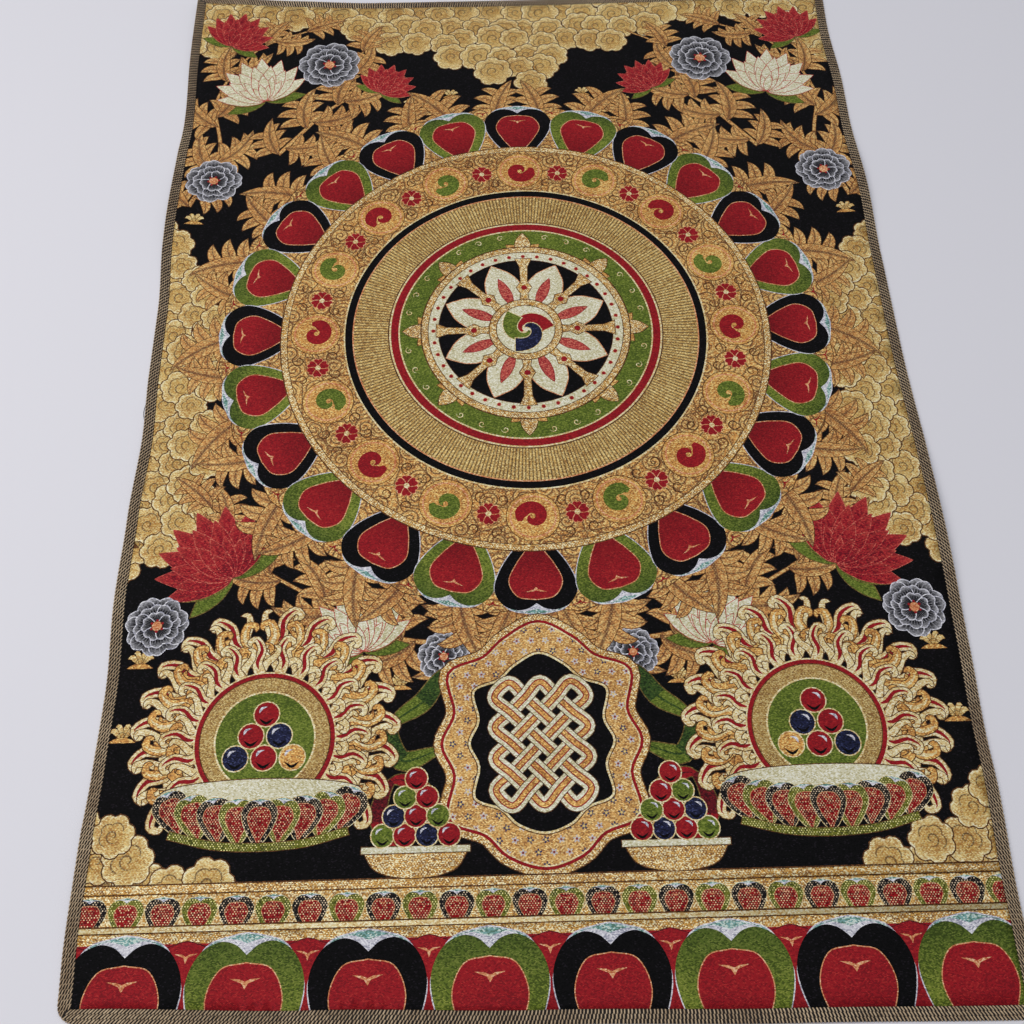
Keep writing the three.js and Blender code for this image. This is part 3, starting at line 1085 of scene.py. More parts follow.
def flame(place, fill, heart):
    """Three curling tongues on one root, 1 unit long."""
    for way, width in FLAME_TONGUES:
        path = smooth(list(way), 3, False)
        last = len(path) - 1
        widths = [width * (1.15 - i / last) ** 0.7 for i in range(last)] + [0.0]
        lay(ribbon(path, widths), fill, place, edge="brown", width=0.6)
    lay(tapered(path[1:-5], 0.1, 0.3), heart, place)


def jewel(place, radius, fill):
    """A round stone with a shadow below and a glint above."""
    lay(circle(radius, 16), fill, place, edge="pale_gold", width=0.8)
    shadow = smooth([-0.62 - 0.3j, -0.74j, 0.62 - 0.3j], 4, False)
    lay([z * radius for z in tapered(shadow, 0.24, 0.5)], "ground", place)
    shine = smooth([-0.6 + 0.1j, -0.42 + 0.5j, 0.05 + 0.64j], 2, False)
    lay([z * radius for z in tapered(shine, 0.22)], "lilac", place)


def tuft(place):
    """A small sprout: curled blades on a low foot."""
    for lean in (1, -1):
        path = smooth([0j, 0.2 * lean + 0.35j, 0.62 * lean + 0.72j, 0.92 * lean + 0.6j], 3, False)
        lay(tapered(path, 0.4, 0.6), "cloud_gold", place, edge="brown", width=0.35)
        path = smooth([0j, 0.05 * lean + 0.5j, 0.3 * lean + 1.05j, 0.52 * lean + 1.0j], 3, False)
        lay(tapered(path, 0.34, 0.6), "cloud_gold", place, edge="brown", width=0.35)
    foot = smooth([-0.95 - 0.12j, -0.4 + 0.02j, 0.4 + 0.02j, 0.95 - 0.12j], 3, False)
    lay(tapered(foot, 0.36, 0.5), "plain_gold", place, edge="brown", width=0.35)


def streamer(path, width, fill, fold):
    """A silk band that twists along a path in panel millimetres, its other side darker."""
    last = len(path) - 1
    widths = [width * (0.3 + 0.7 * abs(math.cos(2.5 * math.pi * i / last))) + 1.0 for i in range(last + 1)]
    lay(ribbon(path, widths), fill, WHOLE, edge="olive", width=0.8)
    step = last // 5
    for k in (1, 3):
        run = path[k * step : (k + 1) * step + 1]
        lay(ribbon(run, widths[k * step : (k + 1) * step + 1]), fold, WHOLE)
    lay(ribbon(path, [w * 0.12 for w in widths]), fold, WHOLE)


# The composition

ROUNDEL = Place(0, 62)
PETAL_RING = 184  # radius to the ring petals' feet
PETAL_LONG = 62
RING_PETALS = 24
WREATH_LEAVES = 19  # on each side
RING_CURLS = 16


def ring(radius, yarn, count=120):
    lay(circle(radius, count), yarn, ROUNDEL)


def around(radius, angle, **kept):
    """A place on the roundel that points outwards."""
    return ROUNDEL.put(*cartesian(radius, angle), turn=angle, **kept)


def leaf_wreath():
    """Leaves that stand out all round the roundel."""
    for side in BOTH:
        for k in range(WREATH_LEAVES):
            angle = 9.5 * k + 5
            spot = side.put(ROUNDEL.origin.real, ROUNDEL.origin.imag)
            x, y = cartesian(PETAL_RING + 50, angle)
            lean = 14 if k % 2 else -10
            leaf(spot.put(x, y, angle + lean, 58 if k % 2 else 50, bend=-0.6 if k % 2 else 0.5))


def petal_ring():
    """Broad petals round the roundel, over the plain ones that show between them."""
    for k in range(RING_PETALS):
        angle = 360 * (k + 0.5) / RING_PETALS
        back_petal(around(PETAL_RING, angle, size=PETAL_LONG), 0.7, "gold", "brown", "crimson")
    for k in range(RING_PETALS):
        angle = 360 * k / RING_PETALS
        big_petal(around(PETAL_RING, angle, size=PETAL_LONG), 0.91, ("ground", "petal_green")[k % 2])


def scroll_ring():
    """The embossed gold ring, with fat curls and small flowers."""
    ring(197.5, "brown")
    ring(196.6, "glitter_gold")
    ring(192, "brown")
    ring(191.4, "gold")
    for k in range(RING_CURLS):
        angle = 360 * k / RING_CURLS
        turn = angle + (200 if k % 4 < 2 else 20)
        spot = ROUNDEL.put(*cartesian(169, angle), turn=turn, size=16.4, mirrored=k % 2 == 0)
        comma(spot, ("crimson", "green")[k % 2])
        halfway = angle + 180 / RING_CURLS
        flower = ROUNDEL.put(*cartesian(169, halfway), size=8.6)
        for lean in (-1, 1):
            for out in (183, 156):
                x, y = cartesian(out, halfway + 3 * lean)
                volute(ROUNDEL.put(x, y, angle, 6.4, lean * (out - 165) > 0), 1.6, "brown", 0.17)
        for j in range(6):
            lay(petal(0.8, HEART, 2), "crimson", flower.put(turn=60 * j), edge="salmon", width=0.5)
        lay(circle(0.26, 8), "pale_gold", flower)
    ring(146.6, "pale_gold", 140)
    ring(145.4, "ground", 140)
    ring(139.6, "salmon", 140)
    ring(138.6, "rayed_gold", 140)


SPOKE = (
    (0.0, 0.0),
    (0.09, 0.04),
    (0.05, 0.3),
    (0.12, 0.42),
    (0.05, 0.54),
    (0.06, 0.84),
    (0.13, 1.0),
    (0.0, 1.0),
)


def wheel():
    """A gilded wheel on green in the roundel's middle, with a swirl at its hub."""
    ring(111, "brown")
    ring(110, "pale_gold")
    ring(108.6, "crimson")
    ring(102.6, "pale_gold")
    ring(101.4, "green")
    for k in range(32):
        volute(around(95.5, 11.25 * k, size=3.4, mirrored=k % 2 == 0), 1.3, "pale_gold", 0.24)
    for k in range(8):
        spot = around(76, 45 * k, size=22)
        for lean in (-52, 52):
            slim_petal(spot.put(turn=lean, size=0.8), 0.5, "plain_gold", "brown", 0.5)
        slim_petal(spot.put(size=1.05), 0.56, "glitter_gold", "brown", 0.6)
    ring(85, "brown")
    ring(84, "glitter_gold")
    ring(79, "brown", 90)
    ring(78.4, "cream", 90)
    for k in range(40):
        lay(circle(1.5, 8), "crimson", around(74.4, 9 * k), edge="salmon", width=0.4)
    ring(70.8, "brown", 90)
    ring(70.2, "ground", 90)
    for k in range(8):
        spot = around(22, 45 * k + 22.5, size=47)
        lay(petal(0.62, POINTED, 5), "cream", spot, edge="salmon", width=0.7)
        lay(petal(0.3, POINTED, 4), "rose", spot.put(y=0.1, size=0.6), edge="crimson", width=0.5)
    for k in range(8):
        spot = around(20, 45 * k, size=52)
        lay(both_sides([complex(x, y) for x, y in SPOKE]), "glitter_gold", spot, edge="brown", width=0.6)
        lay(circle(0.05, 8, 0.42j), "crimson", spot)
    ring(30, "brown", 60)
    ring(29.2, "glitter_gold", 60)
    ring(24, "brown", 60)
    ring(23.3, "cream", 60)
    for k, fill in enumerate(("crimson", "green", "navy")):
        path = [z * 22 for z in spiral(0.62, 0.78, 0.1, 16)]
        widths = [13 * (1 - i / 16) ** 0.7 for i in range(17)]
        widths[-1] = 0.0
        lay(ribbon(path, widths), fill, ROUNDEL.put(turn=120 * k), edge="pale_gold", width=0.7)


def spray(place, path, leaves):
    """A stem with leaves: each leaf's share along the stem, turn, size and bend."""
    last = len(path) - 1
    widths = [3.4 * (1 - 0.7 * i / last) for i in range(last + 1)]
    lay(ribbon(path, widths), "leaf", place, edge="brown", width=0.6)
    for share, turn, size, bend in leaves:
        i = min(int(share * last), last - 1)
        heading = math.degrees(cmath.phase(path[i + 1] - path[i])) - 90
        leaf(place.put(path[i].real, path[i].imag, heading + turn, size, bend=bend))


CORNER_LEAVES = (
    (0.02, 74, 46, 0.9),
    (0.05, -66, 44, -0.9),
    (0.2, 60, 52, 1.0),
    (0.24, -57, 50, -1.0),
    (0.4, 54, 50, 1.0),
    (0.44, -54, 48, -0.9),
    (0.6, 50, 46, 0.9),
    (0.64, -50, 44, -0.9),
    (0.8, 46, 40, 0.8),
    (0.84, -44, 38, -0.8),
    (0.97, 8, 40, 0.4),
)


def corner_sprays(side):
    """Leaf sprays with lotus and peony in the upper corners."""
    stem = smooth([-284 + 196j, -264 + 258j, -272 + 324j, -240 + 386j, -186 + 414j], 6, False)
    spray(side, stem, CORNER_LEAVES)
    stem = smooth([-212 + 256j, -178 + 300j, -150 + 330j, -146 + 376j, -106 + 404j], 6, False)
    spray(side, stem, CORNER_LEAVES[:9])
    side_lotus(side.put(-228, 322, 18, 52), "cream")
    peony(side.put(-172, 366, 10, 27))
    peony(side.put(-266, 226, 40, 23))
    side_lotus(side.put(-264, 392, -24, 40))
    side_lotus(side.put(-124, 330, -30, 34))


TOP_BANK = (
    -310 + 470j,
    -310 + 352j,
    -268 + 396j,
    -216 + 424j,
    -150 + 412j,
    -104 + 384j,
    -58 + 372j,
    -24 + 336j,
    24 + 336j,
    58 + 372j,
    104 + 384j,
    150 + 412j,
    216 + 424j,
    268 + 396j,
    310 + 352j,
    310 + 470j,
)
SIDE_BANK = (
    -312 + 176j,
    -268 + 150j,
    -246 + 92j,
    -238 + 30j,
    -250 - 40j,
    -236 - 86j,
    -262 - 128j,
    -312 - 158j,
)
FOOT_BANK = (-312 - 300j, -286 - 316j, -252 - 344j, -214 - 352j, -206 - 380j, -312 - 380j)


def clouds():
    """Banks of billows along the head, at both sides, and low in the corners."""
    cloud_bank(WHOLE, list(TOP_BANK), 23, -1j, 3)
    for number, side in enumerate(BOTH):
        cloud_bank(side, list(SIDE_BANK), 21, 1 + 0j, 11 + number)
        cloud_bank(side, list(FOOT_BANK), 21, 0.4 + 1j, 23 + number)


MID_LEAVES = (
    (0.0, 66, 46, 1.0),
    (0.03, -66, 46, -1.0),
    (0.2, 58, 50, 1.0),
    (0.24, -58, 50, -1.0),
    (0.42, 52, 50, 0.9),
    (0.46, -52, 48, -0.9),
    (0.64, 48, 44, 0.9),
    (0.68, -46, 44, -0.9),
    (0.86, 42, 40, 0.8),
    (0.9, -40, 40, -0.8),
    (0.98, 5, 40, -0.3),
)


def side_sprays(side):
    """Leaves and lotuses below the roundel, left and right."""
    stem = smooth([-50 - 206j, -104 - 198j, -158 - 168j, -206 - 136j, -244 - 84j], 6, False)
    spray(side, stem, MID_LEAVES)
    side_lotus(side.put(-218, -150, 40, 58))
    side_lotus(side.put(-122, -208, 14, 46), "cream")
    peony(side.put(-268, -186, 0, 21))
    peony(side.put(-66, -214, 0, 17))


SEAT_YARNS = ("black_glitter", "olive_glitter")

# Each row of flames: its radius, how many, their size and lean, and their two yarns

FLAME_ROWS = (
    (60, 17, 34, 20, "pale_gold", "crimson"),
    (50, 19, 32, 6, "plain_gold", "pale_gold"),
    (43, 16, 28, -8, "pale_gold", "crimson"),
)
STONES = (
    (-19, -12, "navy"),
    (0, -12, "crimson"),
    (19, -12, "plain_gold"),
    (-9.5, 3, "crimson"),
    (9.5, 3, "navy"),
    (0, 18, "crimson"),
)


def flaming_jewel(side):
    """Stones on a lotus seat in rings of flames."""
    middle = side.put(-186, -270)
    for row, (radius, count, size, lean, fill, heart) in enumerate(FLAME_ROWS):
        for k in range(count):
            angle = -126 + 252 * (k + 0.5) / count
            away = radius * (1 + 0.1 * math.cos(math.radians(angle)) ** 2)
            turn = angle + (lean if angle > 0 else -lean)
            flame(middle.put(*cartesian(away, angle), turn, size, (angle > 0) == (row != 1)), fill, heart)
    lay(circle(47, 60), "crimson", middle, edge="pale_gold", width=1.0)
    lay(circle(43.5, 60), "rayed_gold", middle, edge="brown", width=0.7)
    lay(circle(33, 50), "green", middle, edge="pale_gold", width=1.2)
    for x, y, fill in STONES:
        jewel(middle.put(x, y), 8.4, fill)
    foot = side.put(-186, -312)
    seat = [complex(66 * z.real, 9 * z.imag + 7) for z in circle(1, 44)]
    lay(seat, "cream", foot, edge="brown", width=0.7)
    for k in (-4, 4, -3, 3, -2, 2, -1, 1, 0):
        spot = foot.put(12.8 * k, -27 + 0.5 * k * k, -5.5 * k, 30)
        big_petal(spot, 0.74, SEAT_YARNS[k % 2], "crimson_glitter", "pale_gold", 0.5)
    base = smooth([-58 - 19j, -30 - 26j, -28j, 30 - 26j, 58 - 19j], 4, False)
    lay(ribbon(base, [5] * len(base)), "olive_glitter", foot, edge="brown", width=0.5)


CARTOUCHE_SIDE = (-76j, 22 - 69j, 36 - 56j, 58 - 46j, 54 - 20j, 62 + 0j, 54 + 20j, 58 + 46j, 36 + 56j)
CARTOUCHE = smooth(both_sides(CARTOUCHE_SIDE + (22 + 69j, 80j)), 5)
CARTOUCHE_BANDS = (
    (1.06, 7.5, "brown"),
    (1.06, 6.8, "glitter_gold"),
    (1.06, 2.6, "crimson"),
    (1.06, 0.6, "pale_gold"),
    (1.06, -0.4, "sprigged_gold"),
    (0.79, 1.2, "brown"),
    (0.79, 0.5, "pale_gold"),
    (0.79, -1, "ground"),
)


RED_WAY = (-30 - 304j, -58 - 330j, -80 - 306j, -100 - 300j, -108 - 326j, -86 - 350j)
GREEN_WAY = (-34 - 232j, -62 - 224j, -80 - 246j, -100 - 262j, -94 - 286j, -70 - 280j)
SILKS = ((RED_WAY, 10, "crimson", "deep_crimson"), (GREEN_WAY, 12, "green", "deep_green"))
KNOT_COLS = 3
KNOT_ROWS = 4
KNOT_CELL = 21.0
KNOT_STEPS = 6  # drawn points from one crossing of the knot to the next
CORD_LAYERS = ((10.8, "brown"), (9.6, "cream"), (4.6, "crimson"), (3.0, "plain_gold"))


def endless_knot():
    """A knot of one endless cord on a cartouche with silk bands behind it."""
    for side in BOTH:
        for way, width, fill, fold in SILKS:
            streamer(smooth([side.spot(z) for z in way], 6, False), width, fill, fold)
    middle = Place(0, -276)
    for size, wide, yarn in CARTOUCHE_BANDS:
        lay(grown([z * size for z in CARTOUCHE], wide), yarn, middle)
    spots = billiard(KNOT_COLS, KNOT_ROWS)
    way = smooth([(z - complex(KNOT_COLS, KNOT_ROWS) / 2) * KNOT_CELL for z in spots], KNOT_STEPS)
    under, over = [], []
    for k, z in enumerate(spots):
        step = spots[(k + 1) % len(spots)] - z
        bends = z.real in (0, KNOT_COLS) or z.imag in (0, KNOT_ROWS)
        rises = step.real * step.imag > 0
        on_top = not bends and rises == (z.real % 1 == 0)
        (over if on_top else under).append(k)
    for chosen, reach in ((under, KNOT_STEPS // 2 + 1), (over, KNOT_STEPS // 2)):
        for width, yarn in CORD_LAYERS:
            for k in chosen:
                run = [way[(k * KNOT_STEPS + d) % len(way)] for d in range(-reach, reach + 1)]
                lay(ribbon(run, [width] * len(run)), yarn, middle)


def billiard(cols, rows):
    """Half-step points of the path that bounces at 45 degrees round a box until it closes."""
    x, y, dx, dy = 0.0, 0.5, 0.5, 0.5
    path = []
    while not path or abs(complex(x, y) - path[0]) > 1e-6 or (dx, dy) != (0.5, 0.5):
        path.append(complex(x, y))
        x, y = x + dx, y + dy
        if x in (0, cols):
            dx = -dx
        if y in (0, rows):
            dy = -dy
    return path


FOOT_PETALS = 8
SEAT_PETALS = 26
BORDER_WIDE = WIDTH / 2 + 20
BORDER_FOOT = -470
GLITTER_BANDS = ((-361, "brown"), (-362, "glitter_gold"), (-367, "brown"), (-367.8, "glitter_gold"))
CRIMSON_BANDS = (
    (-386, "brown"),
    (-387, "pale_gold"),
    (-390, "brown"),
    (-390.8, "glitter_gold"),
    (-397, "crimson"),
)


def foot_bands(bands):
    """Straight bands right across, each from its top down over the ones before."""
    for top, yarn in bands:
        low = [complex(-BORDER_WIDE, top), complex(-BORDER_WIDE, BORDER_FOOT)]
        lay(low + [complex(BORDER_WIDE, BORDER_FOOT), complex(BORDER_WIDE, top)], yarn)


def foot_border():
    """A row of small glittering petals over a row of broad ones, along the foot."""
    foot_bands(GLITTER_BANDS)
    pitch = WIDTH / SEAT_PETALS
    for k in range(SEAT_PETALS):
        spot = Place(pitch * (k + 0.5 - SEAT_PETALS / 2), -393, 0, 24)
        big_petal(spot, 0.88, SEAT_YARNS[k % 2], "crimson_glitter", "pale_gold", 0.45)
    foot_bands(CRIMSON_BANDS)
    pitch = WIDTH / FOOT_PETALS
    for k in range(FOOT_PETALS + 1):
        back_petal(Place(pitch * (k - FOOT_PETALS / 2), -488, 0, 92), 0.5)
    for k in range(FOOT_PETALS):
        band = ("ground", "petal_green")[k % 2]
        big_petal(Place(pitch * (k + 0.5 - FOOT_PETALS / 2), -488, 0, 96), 0.72, band)


HEAP_YARNS = "green crimson navy crimson navy crimson green green crimson crimson".split()


def jewel_heap(place):
    """Stones piled on a gilded dish."""
    dish = smooth([-34 - 2j, -26 - 14j, -10 - 19j, 10 - 19j, 26 - 14j, 34 - 2j], 4, False)
    lay(dish, "glitter_gold", place, edge="brown", width=0.7)
    lay(ribbon([-35 - 2j, 0 - 2j, 35 - 2j], [4, 4, 4]), "cream", place, edge="brown", width=0.6)
    yarns = iter(HEAP_YARNS)
    for row, count in enumerate((4, 3, 2, 1)):
        for i in range(count):
            jewel(place.put(14.4 * (i - (count - 1) / 2), 7 + 12.2 * row), 7.2, next(yarns))


TUFTS = (
    (-276, -216, 9.6),
    (-96, -236, 8.4),
    (-278, 178, 8.4),
    (-282, -268, 9.6),
    (-30, -222, 7.2),
    (-96, 312, 7.2),
    (-60, 322, 7.2),
)


def scattered():
    """Small sprouts on the black ground."""
    for side in BOTH:
        for x, y, size in TUFTS:
            tuft(side.put(x, y, 0, size))


def compose():
    clouds()
    for side in BOTH:
        corner_sprays(side)
    scattered()
    for side in BOTH:
        side_sprays(side)
    leaf_wreath()
    petal_ring()
    scroll_ring()
    wheel()
    endless_knot()
    for side in BOTH:
        flaming_jewel(side)
    foot_border()
    for side in BOTH:
        jewel_heap(side.put(-84, -342))


# Weaving the drawing into one sheet

DRAPE = 9.0  # spacing of the extra points that carry the folds
NEAR = 0.004  # points nearer than this are one
SLACK = 0.09  # how far a drawn line may be straightened
DRAPE_INSET = 14
BACK_STEP = 14.0
BACK_INSET = 16
OUTLINE_STEP = 5.0
SPILL = 1.3  # a shape that covers this many times its own area crosses itself


def panel_outline():
    """The cloth's own edge, anticlockwise from the foot's left end."""
    across, up = int(WIDTH / OUTLINE_STEP), int(HEIGHT / OUTLINE_STEP)
    shares = [(k / across, 0) for k in range(across)] + [(1, k / up) for k in range(up)]
    shares += [(1 - k / across, 1) for k in range(across)] + [(0, 1 - k / up) for k in range(up)]
    return [complex(*(float(c) for c in placed(u, v, CLOTH_INSET))) for u, v in shares]


def inner_points(step, inset):
    """A staggered net of points inside the cloth."""
    xs = np.arange(-WIDTH / 2 + inset, WIDTH / 2 - inset + 1, step)
    ys = np.arange(-HEIGHT / 2 + inset, HEIGHT / 2 - inset + 1, step)
    return [complex(x + (0.5 * step if k % 2 else 0), y) for k, y in enumerate(ys) for x in xs]


def triangulated(points, shapes):
    """The points found, the triangles, the shapes over each triangle, and the found point of each
    given one."""
    spots = [Vector((z.real, z.imag)) for z in points]
    found, _, faces, sources, _, owners = delaunay_2d_cdt(spots, [], shapes, 1, NEAR, True)
    found_as = {given: k for k, source in enumerate(sources) for given in source}
    return np.array([tuple(v) for v in found]), faces, owners, found_as


def boundary(faces):
    """The single loop of edges that only one triangle has, in the triangles' own direction."""
    edges = set()
    for a, b, c in faces:
        for edge in ((a, b), (b, c), (c, a)):
            if edge[::-1] in edges:
                edges.remove(edge[::-1])
            else:
                edges.add(edge)
    following = dict(edges)
    start = next(iter(following))
    loop = [start]
    while following[loop[-1]] != start:
        loop.append(following[loop[-1]])
    return loop


def topmost(found, faces, owners, drawn):
    """The uppermost shape over each triangle, or -1 outside the cloth, which is shape 0."""
    a, b, c = (found[np.array([face[k] for face in faces])] for k in range(3))
    cross = (b[:, 0] - a[:, 0]) * (c[:, 1] - a[:, 1]) - (b[:, 1] - a[:, 1]) * (c[:, 0] - a[:, 0])
    covered = np.zeros(len(drawn))
    for size, owner in zip(np.abs(cross) / 2, owners):
        covered[owner] += size
    sound = covered < drawn * SPILL + 1.0  # the others would hide what lies round them
    tops = [max(shape for shape in owner if sound[shape]) if 0 in owner else -1 for owner in owners]
    return np.array(tops)


def seen_edges(faces, tops, alike):
    """The edges between unlike patches, as (from, to): (patch on the left, on the right)."""
    sides = {}
    for (a, b, c), top in zip(faces, tops):
        for edge in ((a, b), (b, c), (c, a)):
            sides[edge] = top
    seen = {}
    for (a, b), left in sides.items():
        right = sides.get((b, a), -1)
        if (b, a) not in seen and alike[left] != alike[right]:
            seen[a, b] = (left, right)
    return seen


def chained(seen):
    """The seen edges joined into runs between the points where three or more patches meet."""
    near = {}
    for a, b in seen:
        near.setdefault(a, []).append(b)
        near.setdefault(b, []).append(a)
    left_over = {frozenset(edge) for edge in seen}
    runs = []

    def follow(start, second):
        run = [start, second]
        left_over.discard(frozenset((start, second)))
        while len(near[run[-1]]) == 2:
            a, b = near[run[-1]]
            ahead = b if a == run[-2] else a
            if frozenset((run[-1], ahead)) not in left_over:
                break
            left_over.discard(frozenset((run[-1], ahead)))
            run.append(ahead)
        return run

    for point, others in near.items():
        if len(others) != 2:
            for other in others:
                if frozenset((point, other)) in left_over:
                    runs.append(follow(point, other))
    while left_over:
        start, second = tuple(next(iter(left_over)))
        runs.append(follow(start, second))
    return runs


def straightened(run, spots):
    """The run without the points that lie within the slack of a straight line."""
    closed = run[0] == run[-1]
    if len(run) < 3:
        return run
    keep = {0, len(run) - 1}
    parts = [(0, len(run) - 1)]
    if closed:
        far = max(range(len(run)), key=lambda i: abs(spots[run[i]] - spots[run[0]]))
        keep.add(far)
        parts = [(0, far), (far, len(run) - 1)]
    while parts:
        first, last = parts.pop()
        if last - first < 2:
            continue
        a, b = spots[run[first]], spots[run[last]]
        way = b - a
        length = abs(way)
        worst, at = -1.0, first
        for i in range(first + 1, last):
            z = spots[run[i]] - a
            away = abs((way.conjugate() * z).imag) / length if length > 1e-9 else abs(z)
            if away > worst:
                worst, at = away, i
        if worst > SLACK:
            keep.add(at)
            parts += [(first, at), (at, last)]
    return [run[i] for i in sorted(keep)]


def face_of_cloth(alike_of):
    """The points and triangles of the cloth's face, and the shape seen on each triangle. The
    drawing is cut twice: along every line, and then only along the lines that show."""
    outline = panel_outline()
    shift = len(outline)
    shapes = [list(range(shift))] + [[i + shift for i in shape] for shape in cartoon.shapes]
    found, faces, owners, _ = triangulated(outline + cartoon.points, shapes)
    drawn = np.array([WIDTH * HEIGHT] + cartoon.areas)
    tops = topmost(found, faces, owners, drawn)
    alike = {-1: -1, **{top: alike_of(top) for top in set(tops.tolist()) if top >= 0}}
    seen = seen_edges(faces, tops.tolist(), alike)
    spots = (found[:, 0] + 1j * found[:, 1]).tolist()

    numbers, points, edges, patches = {}, [], [], []
    for run in chained(seen):
        forward = seen.get((run[0], run[1]))
        left, right = forward or seen[run[1], run[0]][::-1]
        if -1 in (left, right):
            continue
        kept = straightened(run, spots)
        for a, b in zip(kept, kept[1:]):
            for i in (a, b):
                if i not in numbers:
                    numbers[i] = len(points)
                    points.append(spots[i])
            edges.append((numbers[a], numbers[b]))
            patches.append((left, right))
    points += inner_points(DRAPE, DRAPE_INSET)
    rim = [len(points) + k for k in range(len(outline))]
    given = [Vector((z.real, z.imag)) for z in points + outline]
    found, lines, faces, _, line_sources, owners = delaunay_2d_cdt(given, edges, [rim], 1, NEAR, True)
    found = np.array([tuple(v) for v in found])
    faces = [tuple(face) for face, owner in zip(faces, owners) if owner]

    left_of = {}
    for (a, b), sources in zip(lines, line_sources):
        for source in sources:
            if source < len(edges):
                p, q = edges[source]
                way = points[q] - points[p]
                ahead = complex(*(found[b] - found[a]))
                left, right = patches[source] if (way.conjugate() * ahead).real > 0 else patches[source][::-1]
                left_of[a, b], left_of[b, a] = left, right
                break
    return found, faces, filled_in(faces, left_of)


def filled_in(faces, left_of):
    """The patch of each triangle, spread from the seen edges."""
    beside = {}
    patch = {}
    for k, (a, b, c) in enumerate(faces):
        for edge in ((a, b), (b, c), (c, a)):
            beside[edge] = k
            if edge in left_of:
                patch.setdefault(k, left_of[edge])

    def spread(seen_too):
        waiting = list(patch)
        while waiting:
            k = waiting.pop()
            a, b, c = faces[k]
            for edge in ((b, a), (c, b), (a, c)):
                other = beside.get(edge)
                if other is not None and other not in patch and (seen_too or edge not in left_of):
                    patch[other] = patch[k]
                    waiting.append(other)

    spread(False)
    spread(True)
    return [patch[k] for k in range(len(faces))]


def compacted(found, faces):
    """The points that the triangles use, the triangles, and each such point's new number."""
    used = sorted({i for face in faces for i in face})
    renumber = {old: new for new, old in enumerate(used)}
    return found[used], [tuple(renumber[i] for i in face) for face in faces], renumber


def brocade_panel(groups):
    """The face, cut along the drawing, closed by a plain back and a thin edge."""
    names = list(YARNS)

    def yarn_of(shape):
        return "ground" if shape == 0 else cartoon.yarns[shape - 1]

    def alike_of(shape):
        """Patches of one yarn are one, but for a pattern that follows its own motif."""
        yarn = yarn_of(shape)
        return (yarn, shape) if YARNS[yarn].pattern in LOCAL_PATTERNS else yarn

    found, faces, tops = face_of_cloth(alike_of)
    top, faces, _ = compacted(found, faces)
    print("woven face:", len(cartoon.shapes), "shapes,", len(faces), "triangles")
    loop = boundary(faces)
    rim = [complex(*top[i]) for i in loop]
    given = rim + inner_points(BACK_STEP, BACK_INSET)
    found, back_faces, owners, found_as = triangulated(given, [list(range(len(rim)))])
    inside_rim = [face for face, owner in zip(back_faces, owners) if owner]
    back, back_faces, renumber = compacted(found, inside_rim)
    shift = len(top)
    top_z = lift(top[:, 0], top[:, 1]) + CLOTH_THICK + ripple(top[:, 0], top[:, 1])
    back_z = lift(back[:, 0], back[:, 1])
    places = np.vstack([np.column_stack([top, top_z]), np.column_stack([back, back_z])])

    slots = [names.index(yarn_of(shape)) for shape in tops]
    closing = []
    for k, i in enumerate(loop):
        j = (k + 1) % len(loop)
        corners = (renumber[found_as[k]] + shift, renumber[found_as[j]] + shift, loop[j], i)
        closing.append(tuple(dict.fromkeys(corners)))
    closing += [(a + shift, c + shift, b + shift) for a, b, c in back_faces]
    faces += closing
    slots += [names.index("reverse")] * len(closing)

    mesh = bpy.data.meshes.new("woven_panel")
    mesh.from_pydata((places * MM).tolist(), [], faces)
    mesh.polygons.foreach_set("material_index", slots)
    mesh.polygons.foreach_set("use_smooth", [True] * len(faces))
    local_coordinates(mesh, tops + [0] * len(closing))
    for name in names:
        mesh.materials.append(yarn_material(name, groups))
    mesh.update()
    return piece("woven_panel", mesh)


def local_coordinates(mesh, shapes_of):
    """Each patch's UV is its place in its own motif."""
    places = [WHOLE] + cartoon.places
    origins = np.array([place.origin for place in places])
    factors = np.array([place.factor for place in places])
    mirrored = np.array([place.mirrored for place in places])
    bends = np.array([place.bend for place in places])
    corners = np.empty(len(mesh.loops), int)
    mesh.loops.foreach_get("vertex_index", corners)
    owners = np.repeat(shapes_of, [len(p.vertices) for p in mesh.polygons])
    spots = np.empty(len(mesh.vertices) * 3)
    mesh.vertices.foreach_get("co", spots)
    spots = spots.reshape(-1, 3)[corners] / MM
    local = (spots[:, 0] + 1j * spots[:, 1] - origins[owners]) / factors[owners]
    local = np.where(mirrored[owners], -local.conj(), local)
    bend = bends[owners]
    sharp = np.where(bend == 0, 1.0, bend)
    turned = 1 - sharp * local
    straight = (1 - np.abs(turned)) / sharp - 1j * np.angle(turned) / sharp
    local = np.where(bend == 0, local, straight)
    layer = mesh.uv_layers.new(name="motif")
    layer.data.foreach_set("uv", np.column_stack([local.real, local.imag]).ravel())


def piece(name, mesh):
    made = bpy.data.objects.new(name, mesh)
    bpy.context.scene.collection.objects.link(made)
    return made


# The overcast edge

STRAND_HIGH = 0.5
CORE_STEP = 4.0
CORE_ENDS = (0.0, 1.5, 3, 4.5, 6, 8, 10, 12, 14)  # closer steps round a corner
TAIL = (-0.2 + 0.3j, -1.3 + 4j, -1.9 + 9j, -1.2 + 14j, -0.4 + 19j, 0.3 + 25j)  # loose thread's way
TAIL_AT = 0.475  # share of the left edge
TAIL_RADIUS = 0.19
TAIL_HIGH = 0.25

# How unevenly the stitches lie: share of their pitch, height, and share of their lean and width

UNEVEN_PLACE = 0.07
UNEVEN_HIGH = (-0.08, 0.06)
UNEVEN_SIZE = 0.15
PROBE = 0.2  # how far each way along the edge its direction is felt

# Each side, going round anticlockwise from the foot's left end: its shares of the outline, its
# length, its corners, and its rows of stitches: how many, their pitch, how far one leans, its width,
# and how much of its row it crosses

